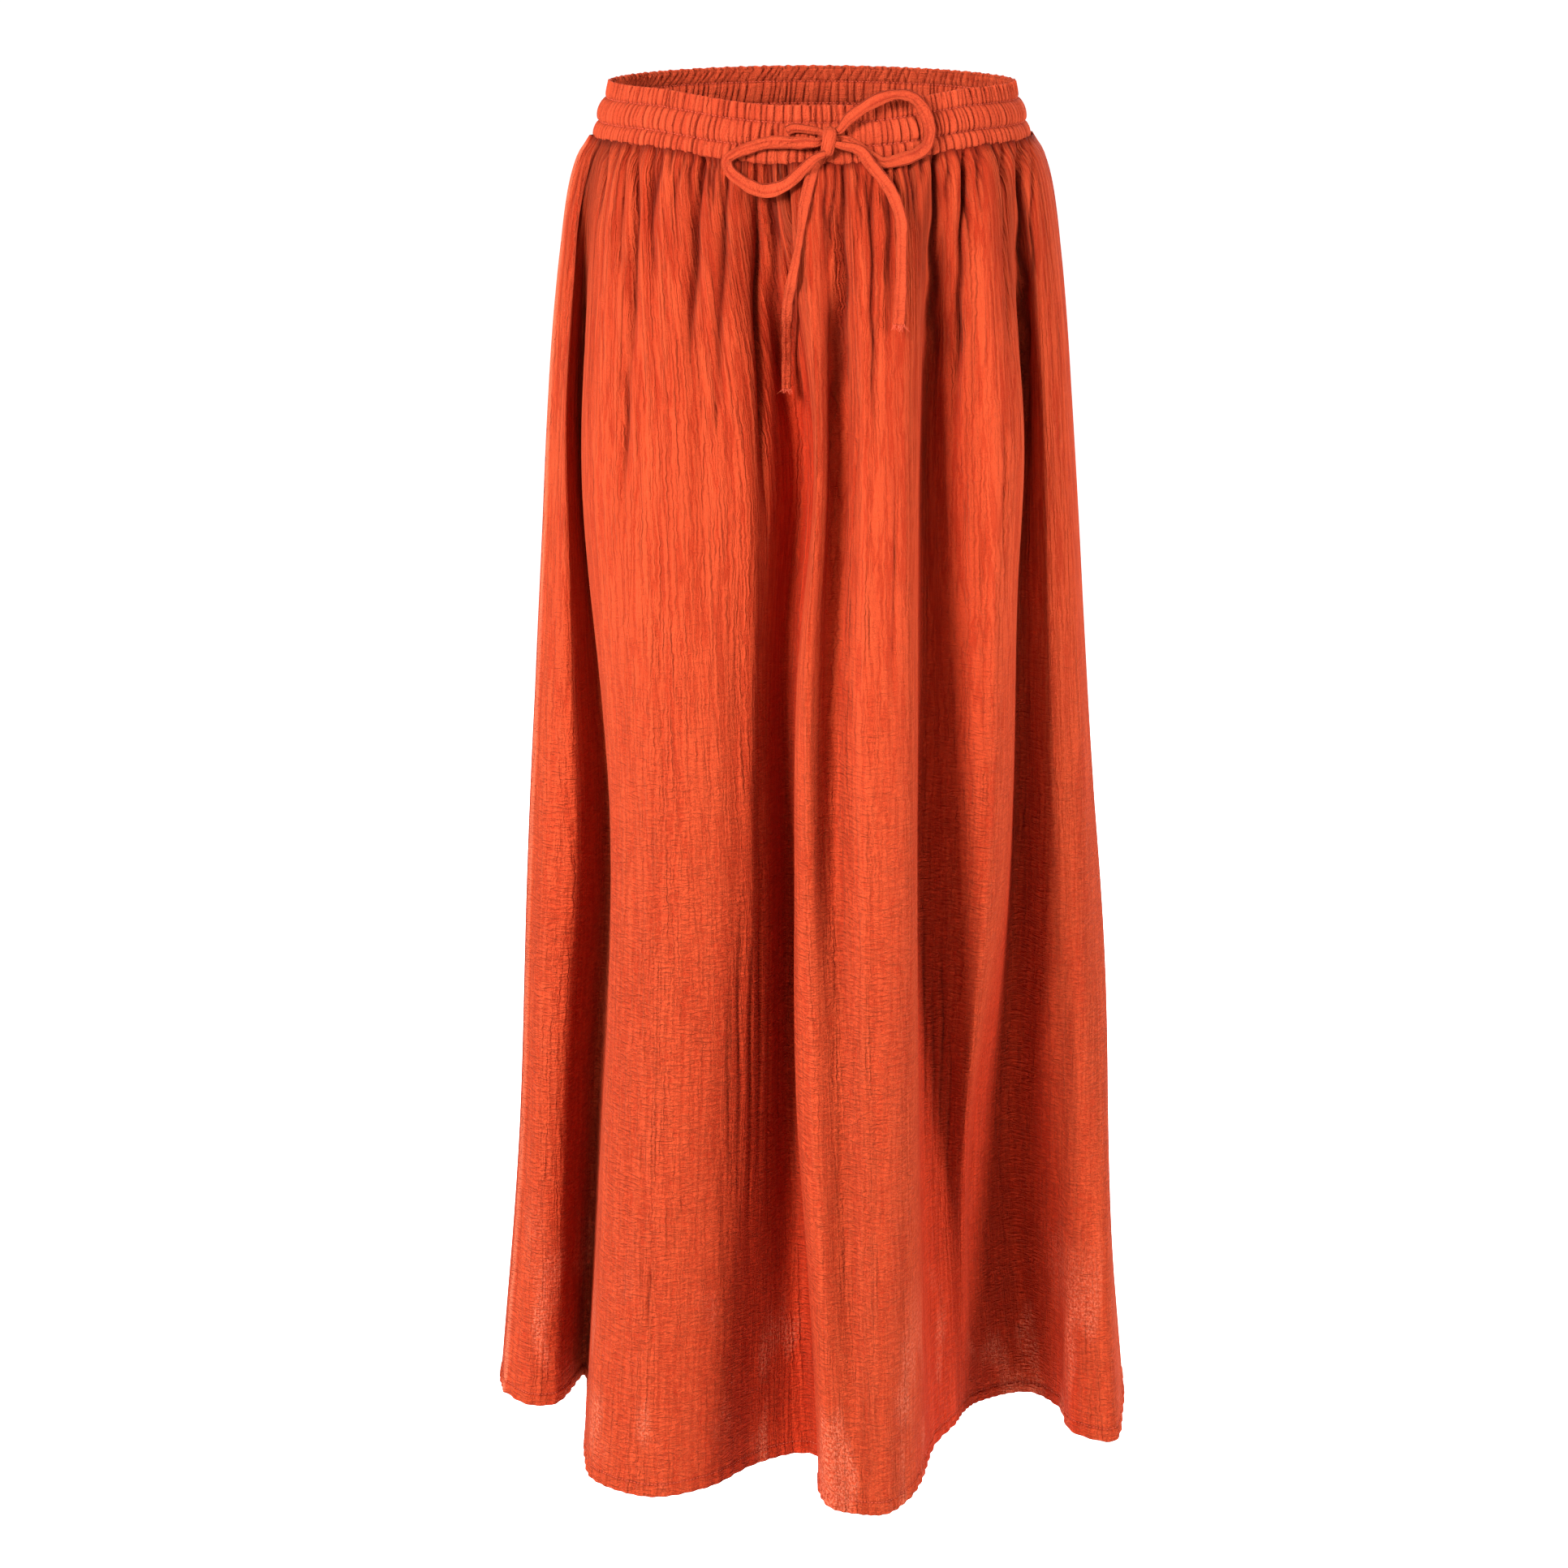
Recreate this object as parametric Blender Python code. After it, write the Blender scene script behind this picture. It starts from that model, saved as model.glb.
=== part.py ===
"""Gathered maxi skirt, worn shape: a channelled waistband, two panels and a bow.

Metres, +Z up, front towards -Y. The origin is the centre of the waistband, which
is where the wearer holds the skirt up. Run with blender --background --python,
or from Blender's text editor.
"""

import math
from collections import namedtuple

import bmesh
import bpy
import numpy as np
from mathutils import Matrix, Vector

# Driving dimensions (m)
WAIST_TOP = 0.0200  # height of the band's front edge over the origin
SEAM_DROP = 0.0375  # the band's depth, down to the panels' seam
MID_DROP = 0.4500  # the level at which the folds' middle places are given
HEM_DROP = 0.9500  # the skirt's whole length
PANEL_WALL = 0.0015
BAND_WALL = 0.0030
SEAM_GAP = 0.0003  # left between pieces that are sewn together
GATHER_DEPTH = 0.0014  # how far a waist gather stands in or out
GATHER_END = 0.2600  # the drop at which the gathers have died out
SIDE_LIFT = 0.0085  # how far the band rides up at the sides
BACK_LIFT = 0.0020  # and further still at the back
LIFT_START, LIFT_SPAN = 8.0, 44.0  # degrees from the front over which it rises
LIFT_FADE = 0.3500  # the drop over which the rise dies out down the panels
UPPER_SPREAD = 2.4  # how quickly the folds open below the seam

# Drawstring (m)
STRING_THICKNESS = 0.0016
STRING_REST = 0.0065  # how far to each side of the string its cloth may hold it off
KNOT_SIZE = (0.0100, 0.0085, 0.0180)
KNOT_PLACE = (0.0103, -0.0014, 0.0078)  # x, z and distance in front of the band
KNOT_LEAN = math.radians(-8.0)
KNOT_ROUNDING = 0.0032

PANEL_COLOUR = (0.72, 0.095, 0.036, 1.0)
BAND_COLOUR = (0.66, 0.085, 0.040, 1.0)
STRING_COLOUR = (0.74, 0.115, 0.050, 1.0)
CLOTH_ROUGHNESS = 0.9

# Heights of the panels' sections, closer together where the gathers are (m)
PANEL_DROPS = (SEAM_DROP, 0.05, 0.075, 0.105, 0.15, 0.21, 0.29, 0.38, 0.48, 0.60, 0.72, 0.84, HEM_DROP)
COLUMNS_PER_STATION = 3
BAND_COLUMNS = 66

Section = namedtuple("Section", "drop half_width half_depth")
SECTIONS = (
    Section(0.0375, 0.1510, 0.1120),
    Section(0.0500, 0.1585, 0.1190),
    Section(0.0750, 0.1665, 0.1270),
    Section(0.1030, 0.1720, 0.1330),
    Section(0.1600, 0.1786, 0.1430),
    Section(0.2740, 0.1875, 0.1560),
    Section(0.4500, 0.1995, 0.1720),
    Section(0.6330, 0.2118, 0.1900),
    Section(0.8210, 0.2220, 0.2060),
    Section(0.9500, 0.2320, 0.2200),
)

# The band's outer face: stitched grooves between three stuffed channels.
BandRow = namedtuple("BandRow", "drop half_width half_depth bulge")
BAND_ROWS = (
    BandRow(0.0000, 0.1390, 0.1000, 0.0000),
    BandRow(0.0050, 0.1410, 0.1022, 0.0008),
    BandRow(0.0102, 0.1428, 0.1040, 0.0000),
    BandRow(0.0180, 0.1455, 0.1066, 0.0020),
    BandRow(0.0260, 0.1480, 0.1090, 0.0000),
    BandRow(0.0320, 0.1495, 0.1106, 0.0012),
    BandRow(SEAM_DROP - SEAM_GAP, 0.1508, 0.1118, 0.0000),
)

# Each fold's edges, crest and valley: the angle on the band, from the wearer's
# right-hand side (-X) round by the front, and its plan place (x, y) in
# millimetres at MID_DROP and at the hem.
Station = namedtuple("Station", "name angle mid hem")
FRONT_STATIONS = (
    Station("left_seam", 7, (-195, -22), (-226, -20)),
    Station("left_lobe_turn", 12, (-186, -38), (-206, -46)),
    Station("left_lobe_edge", 16, (-173, -46), (-188, -44)),
    Station("left_valley", 19, (-150, -10), (-169, 10)),
    Station("lobe1_flank", 22, (-142, -52), (-163, -70)),
    Station("lobe1_edge", 26, (-141, -95), (-161, -140)),
    Station("lobe1_shoulder", 32, (-135, -125), (-153, -178)),
    Station("lobe1_crest", 43, (-105, -155), (-112, -206)),
    Station("lobe1_fall", 55, (-66, -158), (-73, -190)),
    Station("centre_slope", 66, (-35, -140), (-40, -151)),
    Station("centre_valley", 76, (-18, -106), (-10, -132)),
    Station("centre_fold", 81, (-8, -118), (4, -136)),
    Station("lobe2_edge", 84, (-12, -158), (6, -200)),
    Station("lobe2_shoulder", 88, (-4, -177), (14, -225)),
    Station("lobe2_trough", 94, (14, -156), (31, -234)),
    Station("lobe2_crest", 102, (38, -186), (50, -235)),
    Station("lobe2_fall", 110, (64, -175), (66, -213)),
    Station("lobe2_right_edge", 115, (71, -152), (76, -185)),
    Station("right_dark_valley", 120, (76, -106), (89, -118)),
    Station("ridge3_rise", 126, (100, -112), (106, -80)),
    Station("ridge3_crest", 134, (122, -130), (112, -62)),
    Station("ridge3_edge", 141, (139, -95), (126, -41)),
    Station("right_valley", 147, (148, -36), (163, -22)),
    Station("right_lobe_edge", 154, (169, -58), (182, -48)),
    Station("right_lobe_turn", 162, (187, -48), (190, -95)),
    Station("right_lobe", 172, (197, -18), (217, -112)),
    Station("right_side", 181, (199, 12), (228, -62)),
)
BACK_STATIONS = (
    Station("right_seam", 188, (194, 42), (232, 5)),
    Station("back1_lobe", 198, (182, 72), (217, 62)),
    Station("back1_valley", 209, (158, 70), (178, 48)),
    Station("back2_edge", 217, (146, 104), (170, 108)),
    Station("back2_lobe", 226, (126, 136), (152, 162)),
    Station("back2_fall", 235, (101, 145), (118, 152)),
    Station("back2_valley", 241, (85, 118), (103, 104)),
    Station("back3_edge", 247, (75, 146), (92, 165)),
    Station("back3_lobe", 257, (52, 172), (58, 216)),
    Station("back3_fall", 266, (24, 165), (24, 196)),
    Station("back3_valley", 272, (8, 128), (8, 134)),
    Station("back4_edge", 278, (-8, 158), (-12, 186)),
    Station("back4_lobe", 288, (-36, 178), (-46, 228)),
    Station("back4_fall", 298, (-66, 166), (-82, 196)),
    Station("back4_valley", 304, (-83, 124), (-94, 122)),
    Station("back5_edge", 311, (-99, 146), (-118, 158)),
    Station("back5_lobe", 321, (-128, 144), (-152, 181)),
    Station("back5_fall", 330, (-152, 114), (-177, 140)),
    Station("back5_valley", 337, (-158, 66), (-172, 76)),
    Station("back6_lobe", 346, (-185, 62), (-216, 76)),
    Station("left_side", 357, (-199, 14), (-231, 22)),
)
STATIONS = FRONT_STATIONS + BACK_STATIONS
RIGHT_SEAM = len(FRONT_STATIONS)  # station counts at which the panels meet
LEFT_SEAM = len(STATIONS)

# Where a fold wanders off its smooth run: the drop and the reach of the shift (m),
# and the shift in x and y (mm).
Drift = namedtuple("Drift", "station drop reach dx dy")
DRIFTS = (
    Drift("left_side", 0.200, 0.100, -1.5, 0),
    Drift("left_side", 0.710, 0.150, 3.5, 0),
    Drift("left_seam", 0.200, 0.100, -1.5, 0),
    Drift("left_seam", 0.710, 0.150, 3.5, 0),
    Drift("left_lobe_edge", 0.220, 0.090, -5, -2),
    Drift("left_lobe_edge", 0.530, 0.120, 7, 0),
    Drift("left_valley", 0.240, 0.130, -11, 12),
    Drift("left_valley", 0.540, 0.120, 5, 0),
    Drift("lobe1_flank", 0.250, 0.140, -15, 8),
    Drift("lobe1_flank", 0.560, 0.120, 4, 0),
    Drift("lobe1_edge", 0.250, 0.140, -16, -3),
    Drift("lobe1_edge", 0.560, 0.120, 3, 0),
    Drift("lobe1_shoulder", 0.240, 0.140, -12, -2),
    Drift("centre_slope", 0.240, 0.110, 10, 0),
    Drift("centre_valley", 0.230, 0.110, 15, 14),
    Drift("centre_fold", 0.230, 0.110, 15, 14),
    Drift("lobe2_edge", 0.230, 0.120, 15, -3),
    Drift("lobe2_edge", 0.660, 0.130, -5, 0),
    Drift("centre_fold", 0.660, 0.130, -4, 4),
    Drift("centre_valley", 0.660, 0.130, -4, 4),
    Drift("lobe2_shoulder", 0.230, 0.110, 8, -2),
    Drift("lobe2_trough", 0.240, 0.110, 9, 8),
    Drift("lobe2_trough", 0.620, 0.110, 0, -14),
    Drift("right_dark_valley", 0.210, 0.090, 0, 12),
    Drift("ridge3_rise", 0.720, 0.150, -6, 0),
    Drift("ridge3_crest", 0.720, 0.150, -9, 0),
    Drift("ridge3_edge", 0.230, 0.090, 8, 0),
    Drift("ridge3_edge", 0.740, 0.160, -17, 0),
    Drift("right_valley", 0.220, 0.090, 5, 12),
    Drift("right_valley", 0.740, 0.160, -10, 0),
    Drift("right_side", 0.200, 0.100, -2, 0),
    Drift("right_side", 0.620, 0.140, 4, 0),
    Drift("right_seam", 0.200, 0.100, -2, 0),
    Drift("right_seam", 0.620, 0.140, 4, 0),
)

# The drawstring's routes, in millimetres: across, up, the distance in front of
# the cloth behind, and the width of the flat string there.
StringPoint = namedtuple("StringPoint", "x z out width")
EXIT_STRAND = (
    StringPoint(-17.6, 4.8, 4.8, 6.5),
    StringPoint(-13.3, 6.6, 4.8, 7.0),
    StringPoint(-6.3, 6.4, 4.8, 6.5),
    StringPoint(-0.5, 5.4, 4.8, 5.5),
    StringPoint(3.8, 4.6, 4.8, 5.0),
)
LEFT_LOOP = (
    StringPoint(3.4, -1.8, 8.2, 6.0),
    StringPoint(-9.0, -2.3, 8.0, 9.0),
    StringPoint(-30.5, -2.6, 7.0, 9.0),
    StringPoint(-44.5, -7.0, 6.5, 8.5),
    StringPoint(-53.1, -10.8, 6.5, 7.5),
    StringPoint(-56.9, -14.0, 6.5, 7.0),
    StringPoint(-56.4, -18.7, 6.5, 7.0),
    StringPoint(-53.1, -23.1, 6.5, 8.0),
    StringPoint(-40.2, -31.1, 6.5, 9.0),
    StringPoint(-30.5, -33.1, 6.5, 9.0),
    StringPoint(-17.6, -28.2, 8.5, 9.0),
    StringPoint(-5.2, -17.4, 11.0, 8.0),
    StringPoint(2.8, -11.0, 10.0, 6.0),
)
RIGHT_LOOP = (
    StringPoint(16.8, 5.6, 9.0, 5.5),
    StringPoint(24.3, 13.7, 9.0, 8.0),
    StringPoint(38.3, 22.8, 9.0, 8.5),
    StringPoint(47.5, 26.8, 9.0, 8.0),
    StringPoint(55.7, 28.1, 9.0, 7.0),
    StringPoint(65.5, 26.3, 9.0, 7.5),
    StringPoint(72.6, 19.3, 8.5, 8.5),
    StringPoint(77.6, 6.5, 7.5, 8.5),
    StringPoint(76.4, -4.5, 6.5, 8.5),
    StringPoint(69.8, -10.4, 6.0, 9.0),
    StringPoint(56.8, -14.2, 6.0, 9.0),
    StringPoint(45.9, -15.5, 5.8, 8.0),
    StringPoint(37.0, -10.6, 5.0, 7.0),
    StringPoint(28.0, -3.8, 4.8, 6.5),
    StringPoint(16.8, 0.4, 4.8, 5.0),
)
LEFT_TAIL = (
    StringPoint(5.6, -12.4, 3.8, 6.0),
    StringPoint(0.7, -18.7, 3.8, 8.0),
    StringPoint(-2.0, -26.2, 4.2, 8.5),
    StringPoint(-5.2, -39.0, 4.2, 8.5),
    StringPoint(-7.9, -56.1, 4.2, 6.0),
    StringPoint(-10.6, -72.8, 4.2, 5.5),
    StringPoint(-13.8, -90.3, 4.2, 7.5),
    StringPoint(-16.5, -107.9, 4.2, 8.5),
    StringPoint(-17.6, -135.6, 4.2, 6.5),
    StringPoint(-17.6, -161.5, 4.2, 6.0),
)
RIGHT_TAIL = (
    StringPoint(16.8, -3.6, 8.4, 5.0),
    StringPoint(30.3, -6.9, 9.0, 8.0),
    StringPoint(38.4, -16.5, 9.5, 8.5),
    StringPoint(47.0, -26.2, 8.0, 8.5),
    StringPoint(53.9, -38.1, 6.0, 8.5),
    StringPoint(58.3, -51.7, 5.0, 8.0),
    StringPoint(58.8, -61.6, 4.2, 7.5),
    StringPoint(58.3, -80.3, 4.2, 7.5),
    StringPoint(58.3, -93.9, 4.2, 8.5),
    StringPoint(56.7, -118.9, 4.2, 8.5),
)
STRING_STEPS = 2  # sections of string between two points of a route


def clear_scene():
    for thing in list(bpy.data.objects):
        bpy.data.objects.remove(thing, do_unlink=True)


def cloth_material(name, colour):
    material = bpy.data.materials.new(name)
    material.use_nodes = True
    shader = material.node_tree.nodes["Principled BSDF"]
    shader.inputs["Base Color"].default_value = colour
    shader.inputs["Roughness"].default_value = CLOTH_ROUGHNESS
    shader.inputs["Metallic"].default_value = 0.0
    return material


def mesh_object(name, points, faces, material):
    mesh = bpy.data.meshes.new(name)
    mesh.from_pydata([tuple(point) for point in points], [], faces)
    mesh.materials.append(material)
    mesh.shade_smooth()
    mesh.update()
    thing = bpy.data.objects.new(name, mesh)
    bpy.context.scene.collection.objects.link(thing)
    return thing


def smooth(value):
    value = np.clip(value, 0.0, 1.0)
    return value * value * (3.0 - 2.0 * value)


def hermite(start, end, slope_start, slope_end, span, u):
    """The cubic between two values with given slopes, u from 0 to 1."""
    return (
        (1 + 2 * u) * (1 - u) ** 2 * start
        + u * (1 - u) ** 2 * span * slope_start
        + u * u * (3 - 2 * u) * end
        + u * u * (u - 1) * span * slope_end
    )


def read_table(places, values, place):
    """Read a table along a smooth curve that never overshoots its rows."""
    gaps = np.diff(places)
    rises = np.diff(values) / gaps
    slopes = np.append(rises[0], rises)
    for i in range(1, len(rises)):
        before, after = rises[i - 1], rises[i]
        slopes[i] = 2 * before * after / (before + after) if before * after > 0 else 0.0
    row = int(np.clip(np.searchsorted(places, place, side="right") - 1, 0, len(gaps) - 1))
    u = (place - places[row]) / gaps[row]
    return hermite(values[row], values[row + 1], slopes[row], slopes[row + 1], gaps[row], u)


def half_sizes(drop):
    """Half the skirt's width and depth, with no folds, at one drop."""
    drops = np.array([row.drop for row in SECTIONS])
    widths = np.array([row.half_width for row in SECTIONS])
    depths = np.array([row.half_depth for row in SECTIONS])
    return np.array([read_table(drops, widths, drop), read_table(drops, depths, drop)])


def station_angles():
    return np.radians([station.angle for station in STATIONS])


def station_places(drop):
    """Every station's (x, y): on the band's ring, then the middle, then the hem."""
    angles = station_angles()
    ring = -np.stack([np.cos(angles), np.sin(angles)], axis=1)
    mid = np.array([station.mid for station in STATIONS]) / 1000 / half_sizes(MID_DROP)
    hem = np.array([station.hem for station in STATIONS]) / 1000 / half_sizes(HEM_DROP)
    upper, lower = MID_DROP - SEAM_DROP, HEM_DROP - MID_DROP
    upper_slope, lower_slope = (mid - ring) / upper, (hem - mid) / lower
    mid_slope = (upper_slope * lower + lower_slope * upper) / (upper + lower)
    if drop <= MID_DROP:
        u = (drop - SEAM_DROP) / upper
        places = hermite(ring, mid, upper_slope * UPPER_SPREAD, mid_slope, upper, u)
    else:
        u = (drop - MID_DROP) / lower
        places = hermite(mid, hem, mid_slope, lower_slope, lower, u)
    places = places * half_sizes(drop)
    rows = [station.name for station in STATIONS]
    for drift in DRIFTS:
        share = math.exp(-(((drop - drift.drop) / drift.reach) ** 2)) * smooth((drop - SEAM_DROP) / 0.06)
        places[rows.index(drift.station)] += np.array([drift.dx, drift.dy]) / 1000 * share
    return places


def closed_curve(points, counts):
    """Centripetal Catmull-Rom curve round the stations, read at station counts."""
    whole = np.floor(counts).astype(int)
    near = [points[(whole + step) % len(points)] for step in (-1, 0, 1, 2)]
    knots = [np.zeros((len(counts), 1))]
    for before, after in zip(near, near[1:]):
        knots.append(knots[-1] + np.sqrt(np.linalg.norm(after - before, axis=1))[:, None])
    place = knots[1] + (counts - whole)[:, None] * (knots[2] - knots[1])

    def mix(i, j, first, second):
        return ((knots[j] - place) * first + (place - knots[i]) * second) / (knots[j] - knots[i])

    first = [mix(i, i + 1, near[i], near[i + 1]) for i in range(3)]
    second = [mix(i, i + 2, first[i], first[i + 1]) for i in range(2)]
    return mix(1, 2, second[0], second[1])


def lift(angles):
    """How far the band rides up, at angles from the -X side round by the front."""
    from_front = np.abs((np.degrees(angles) - 90 + 180) % 360 - 180)
    sides = SIDE_LIFT * smooth((from_front - LIFT_START) / LIFT_SPAN)
    return sides + BACK_LIFT * smooth((from_front - 90) / 90)


def cloth_rows(drop, counts):
    """Outer points of the panels at one drop, and the cloth's outward directions."""
    places = station_places(drop)
    plan = closed_curve(places, counts)
    step = 0.02
    along = closed_curve(places, counts + step) - closed_curve(places, counts - step)
    outward = np.stack([along[:, 1], -along[:, 0]], axis=1)
    outward /= np.linalg.norm(outward, axis=1)[:, None]
    angles = np.interp(counts, np.arange(LEFT_SEAM + 1), np.append(station_angles(), math.radians(367)))
    height = WAIST_TOP - drop + lift(angles) * (1 - smooth((drop - SEAM_DROP) / LIFT_FADE))
    return np.column_stack([plan, height]), np.column_stack([outward, np.zeros(len(counts))])


def shell(name, outer, inner, material, closed=False):
    """A wall between two grids of points, closed round its edges."""
    rows, columns = outer.shape[:2]
    points = list(outer.reshape(-1, 3)) + list(inner.reshape(-1, 3))
    offset = rows * columns
    last = columns if closed else columns - 1
    faces = []
    for row in range(rows - 1):
        for column in range(last):
            a = row * columns + column
            b = row * columns + (column + 1) % columns
            c, d = b + columns, a + columns
            faces += [(a, d, c, b), (offset + a, offset + b, offset + c, offset + d)]
    for column in range(last):
        a, b = column, (column + 1) % columns
        low = (rows - 1) * columns
        faces += [(a, b, offset + b, offset + a), (low + b, low + a, offset + low + a, offset + low + b)]
    if not closed:
        for row in range(rows - 1):
            a, b = row * columns, (row + 1) * columns
            c, d = a + columns - 1, b + columns - 1
            faces += [(b, a, offset + a, offset + b), (c, d, offset + d, offset + c)]
    return mesh_object(name, points, faces, material)


def panel(name, first, last, material):
    """One panel from seam to seam: gathered at the band, folded towards the hem."""
    counts = np.linspace(first, last, (last - first) * COLUMNS_PER_STATION + 1)
    gather = np.where(np.arange(len(counts)) % 2, 1.0, -1.0)
    gather[[0, -1]] = 0.0
    outer, inner = [], []
    for drop in PANEL_DROPS:
        row_counts = counts.copy()
        places = station_places(drop)
        for end, neighbour in ((0, 1), (-1, -2)):
            start, beside = closed_curve(places, counts[[end, neighbour]])
            share = SEAM_GAP / 2 / np.linalg.norm(beside - start)
            row_counts[end] += share * (counts[neighbour] - counts[end])
        points, outward = cloth_rows(drop, row_counts)
        depth = GATHER_DEPTH * (1 - smooth((drop - SEAM_DROP) / (GATHER_END - SEAM_DROP)))
        points = points + outward * (gather * depth)[:, None]
        outer.append(points)
        inner.append(points - outward * PANEL_WALL)
    return shell(name, np.array(outer), np.array(inner), material)


def band_point(row, angles, inset=0.0):
    """Points of the band's face at one row of its table."""
    width = row.half_width + row.bulge - inset
    depth = row.half_depth + row.bulge - inset
    heights = WAIST_TOP - row.drop + lift(angles)
    return np.column_stack([-width * np.cos(angles), -depth * np.sin(angles), heights])


def waistband(material):
    angles = np.linspace(0, 2 * math.pi, BAND_COLUMNS, endpoint=False)
    outer = np.array([band_point(row, angles) for row in BAND_ROWS])
    flat = [row._replace(bulge=0.0) for row in BAND_ROWS]
    inner = np.array([band_point(row, angles, BAND_WALL) for row in flat])
    return shell("waistband", outer, inner, material, closed=True)


def front_depth(x, z):
    """The y of the front-most cloth of the skirt, or of its band, about (x, z)."""
    drop = WAIST_TOP - z
    if drop < SEAM_DROP:
        share = max(drop, 0.0) / SEAM_DROP
        top, low = BAND_ROWS[0], BAND_ROWS[-1]
        width = top.half_width + (low.half_width - top.half_width) * share
        depth = top.half_depth + (low.half_depth - top.half_depth) * share
        return -depth * math.sqrt(1 - (x / width) ** 2)
    counts = np.linspace(3, RIGHT_SEAM - 2, 400)
    plan = closed_curve(station_places(drop), counts)
    return float(plan[np.abs(plan[:, 0] - x) < STRING_REST, 1].min())


def open_curve(points, steps):
    """Centripetal curve through all of a route's points."""
    padded = np.array([2 * points[0] - points[1], *points, 2 * points[-1] - points[-2]])
    counts = np.linspace(1, len(points), (len(points) - 1) * steps + 1)
    counts[-1] -= 1e-6
    return closed_curve(padded, counts)


def string_piece(name, route, material):
    """A flat stretch of drawstring, its broad side turned to the front."""
    centres = np.array(
        [(p.x / 1000, front_depth(p.x / 1000, p.z / 1000) - p.out / 1000, p.z / 1000) for p in route]
    )
    centres = open_curve(centres, STRING_STEPS)
    widths = np.interp(
        np.linspace(0, len(route) - 1, len(centres)), range(len(route)), [p.width / 1000 for p in route]
    )
    along = np.gradient(centres, axis=0)
    along /= np.linalg.norm(along, axis=1)[:, None]
    across = np.cross(along, (0.0, -1.0, 0.0))
    across /= np.linalg.norm(across, axis=1)[:, None]
    facing = np.cross(across, along)
    half_width, half_wall = across * widths[:, None] / 2, facing * STRING_THICKNESS / 2
    front = np.stack([centres + half_width + half_wall, centres - half_width + half_wall], axis=1)
    back = np.stack([centres + half_width - half_wall, centres - half_width - half_wall], axis=1)
    return shell(name, front, back, material)


def knot(material):
    """The wrap of string that holds the bow, a rounded block."""
    x, z, out = KNOT_PLACE
    shape = bmesh.new()
    bmesh.ops.create_cube(shape, size=1.0)
    bmesh.ops.scale(shape, vec=KNOT_SIZE, verts=shape.verts)
    bmesh.ops.bevel(
        shape, geom=shape.edges[:], offset=KNOT_ROUNDING, segments=2, affect="EDGES", profile=0.5
    )
    turn = Matrix.Rotation(KNOT_LEAN, 4, "Y")
    place = Matrix.Translation(Vector((x, front_depth(x, z) - out, z)))
    bmesh.ops.transform(shape, matrix=place @ turn, verts=shape.verts)
    mesh = bpy.data.meshes.new("drawstring_knot")
    shape.to_mesh(mesh)
    shape.free()
    mesh.materials.append(material)
    mesh.shade_smooth()
    thing = bpy.data.objects.new("drawstring_knot", mesh)
    bpy.context.scene.collection.objects.link(thing)
    return thing


def main():
    clear_scene()
    panel_cloth = cloth_material("panel_cloth", PANEL_COLOUR)
    band_cloth = cloth_material("band_cloth", BAND_COLOUR)
    string_cloth = cloth_material("string_cloth", STRING_COLOUR)
    waistband(band_cloth)
    panel("front_panel", 0, RIGHT_SEAM, panel_cloth)
    panel("back_panel", RIGHT_SEAM, LEFT_SEAM, panel_cloth)
    string_piece("drawstring_exit", EXIT_STRAND, string_cloth)
    string_piece("drawstring_left_loop", LEFT_LOOP, string_cloth)
    string_piece("drawstring_right_loop", RIGHT_LOOP, string_cloth)
    string_piece("drawstring_left_tail", LEFT_TAIL, string_cloth)
    string_piece("drawstring_right_tail", RIGHT_TAIL, string_cloth)
    knot(string_cloth)


if __name__ == "__main__":
    main()
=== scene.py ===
"""Gathered maxi skirt in crinkled cotton gauze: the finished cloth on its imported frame.

Metres, +Z up, front towards -Y. The cloth is built as a maker would sew it: a
shirred waistband with three stitched channels, a front and a back panel gathered
into it, a turned-up hem, and a self-cloth drawstring tied in a bow.
"""

import math
from collections import namedtuple

import bpy
import numpy as np
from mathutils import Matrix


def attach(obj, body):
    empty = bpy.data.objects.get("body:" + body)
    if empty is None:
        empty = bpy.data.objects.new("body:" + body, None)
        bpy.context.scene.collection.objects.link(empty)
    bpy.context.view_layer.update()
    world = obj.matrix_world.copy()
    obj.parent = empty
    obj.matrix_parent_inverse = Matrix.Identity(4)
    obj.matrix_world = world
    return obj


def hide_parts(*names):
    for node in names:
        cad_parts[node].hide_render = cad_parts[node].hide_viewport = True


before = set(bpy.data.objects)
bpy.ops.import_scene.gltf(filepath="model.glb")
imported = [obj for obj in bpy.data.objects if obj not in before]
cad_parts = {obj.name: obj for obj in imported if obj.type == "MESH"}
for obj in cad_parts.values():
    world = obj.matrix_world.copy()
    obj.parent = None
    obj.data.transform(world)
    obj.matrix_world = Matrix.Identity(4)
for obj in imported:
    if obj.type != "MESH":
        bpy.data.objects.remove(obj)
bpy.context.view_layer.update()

bl_info = {
    "name": "Gathered Maxi Skirt",
    "version": (1, 0, 0),
    "blender": (4, 5, 0),
    "location": "3D View > Sidebar > Skirt",
    "description": "Builds a gathered gauze maxi skirt with a channelled waistband and a drawstring bow",
    "category": "Add Mesh",
}

# Sizes in metres; a drop is a distance below the waistband's top edge at the front.
# The first ones are the frame's own, which the cloth follows.
WAIST_TOP = 0.0200
SEAM_DROP = 0.0375
MID_DROP = 0.4500
HEM_DROP = 0.9500
SIDE_LIFT, BACK_LIFT = 0.0085, 0.0020
LIFT_START, LIFT_SPAN = 8.0, 44.0
LIFT_FADE = 0.3500
UPPER_SPREAD = 2.40
STRING_REST = 0.0065
BAND_FLARE = 0.0118
BAND_TOP_HALF, BAND_LOW_HALF = (0.1390, 0.1000), (0.1508, 0.1118)
BAND_ROUND = 0.792  # the band's length round its middle
BAND_THICK = 0.0028
STITCH_DROPS = (0.0102, 0.0260)  # the band's two rows of elastic stitching
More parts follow.
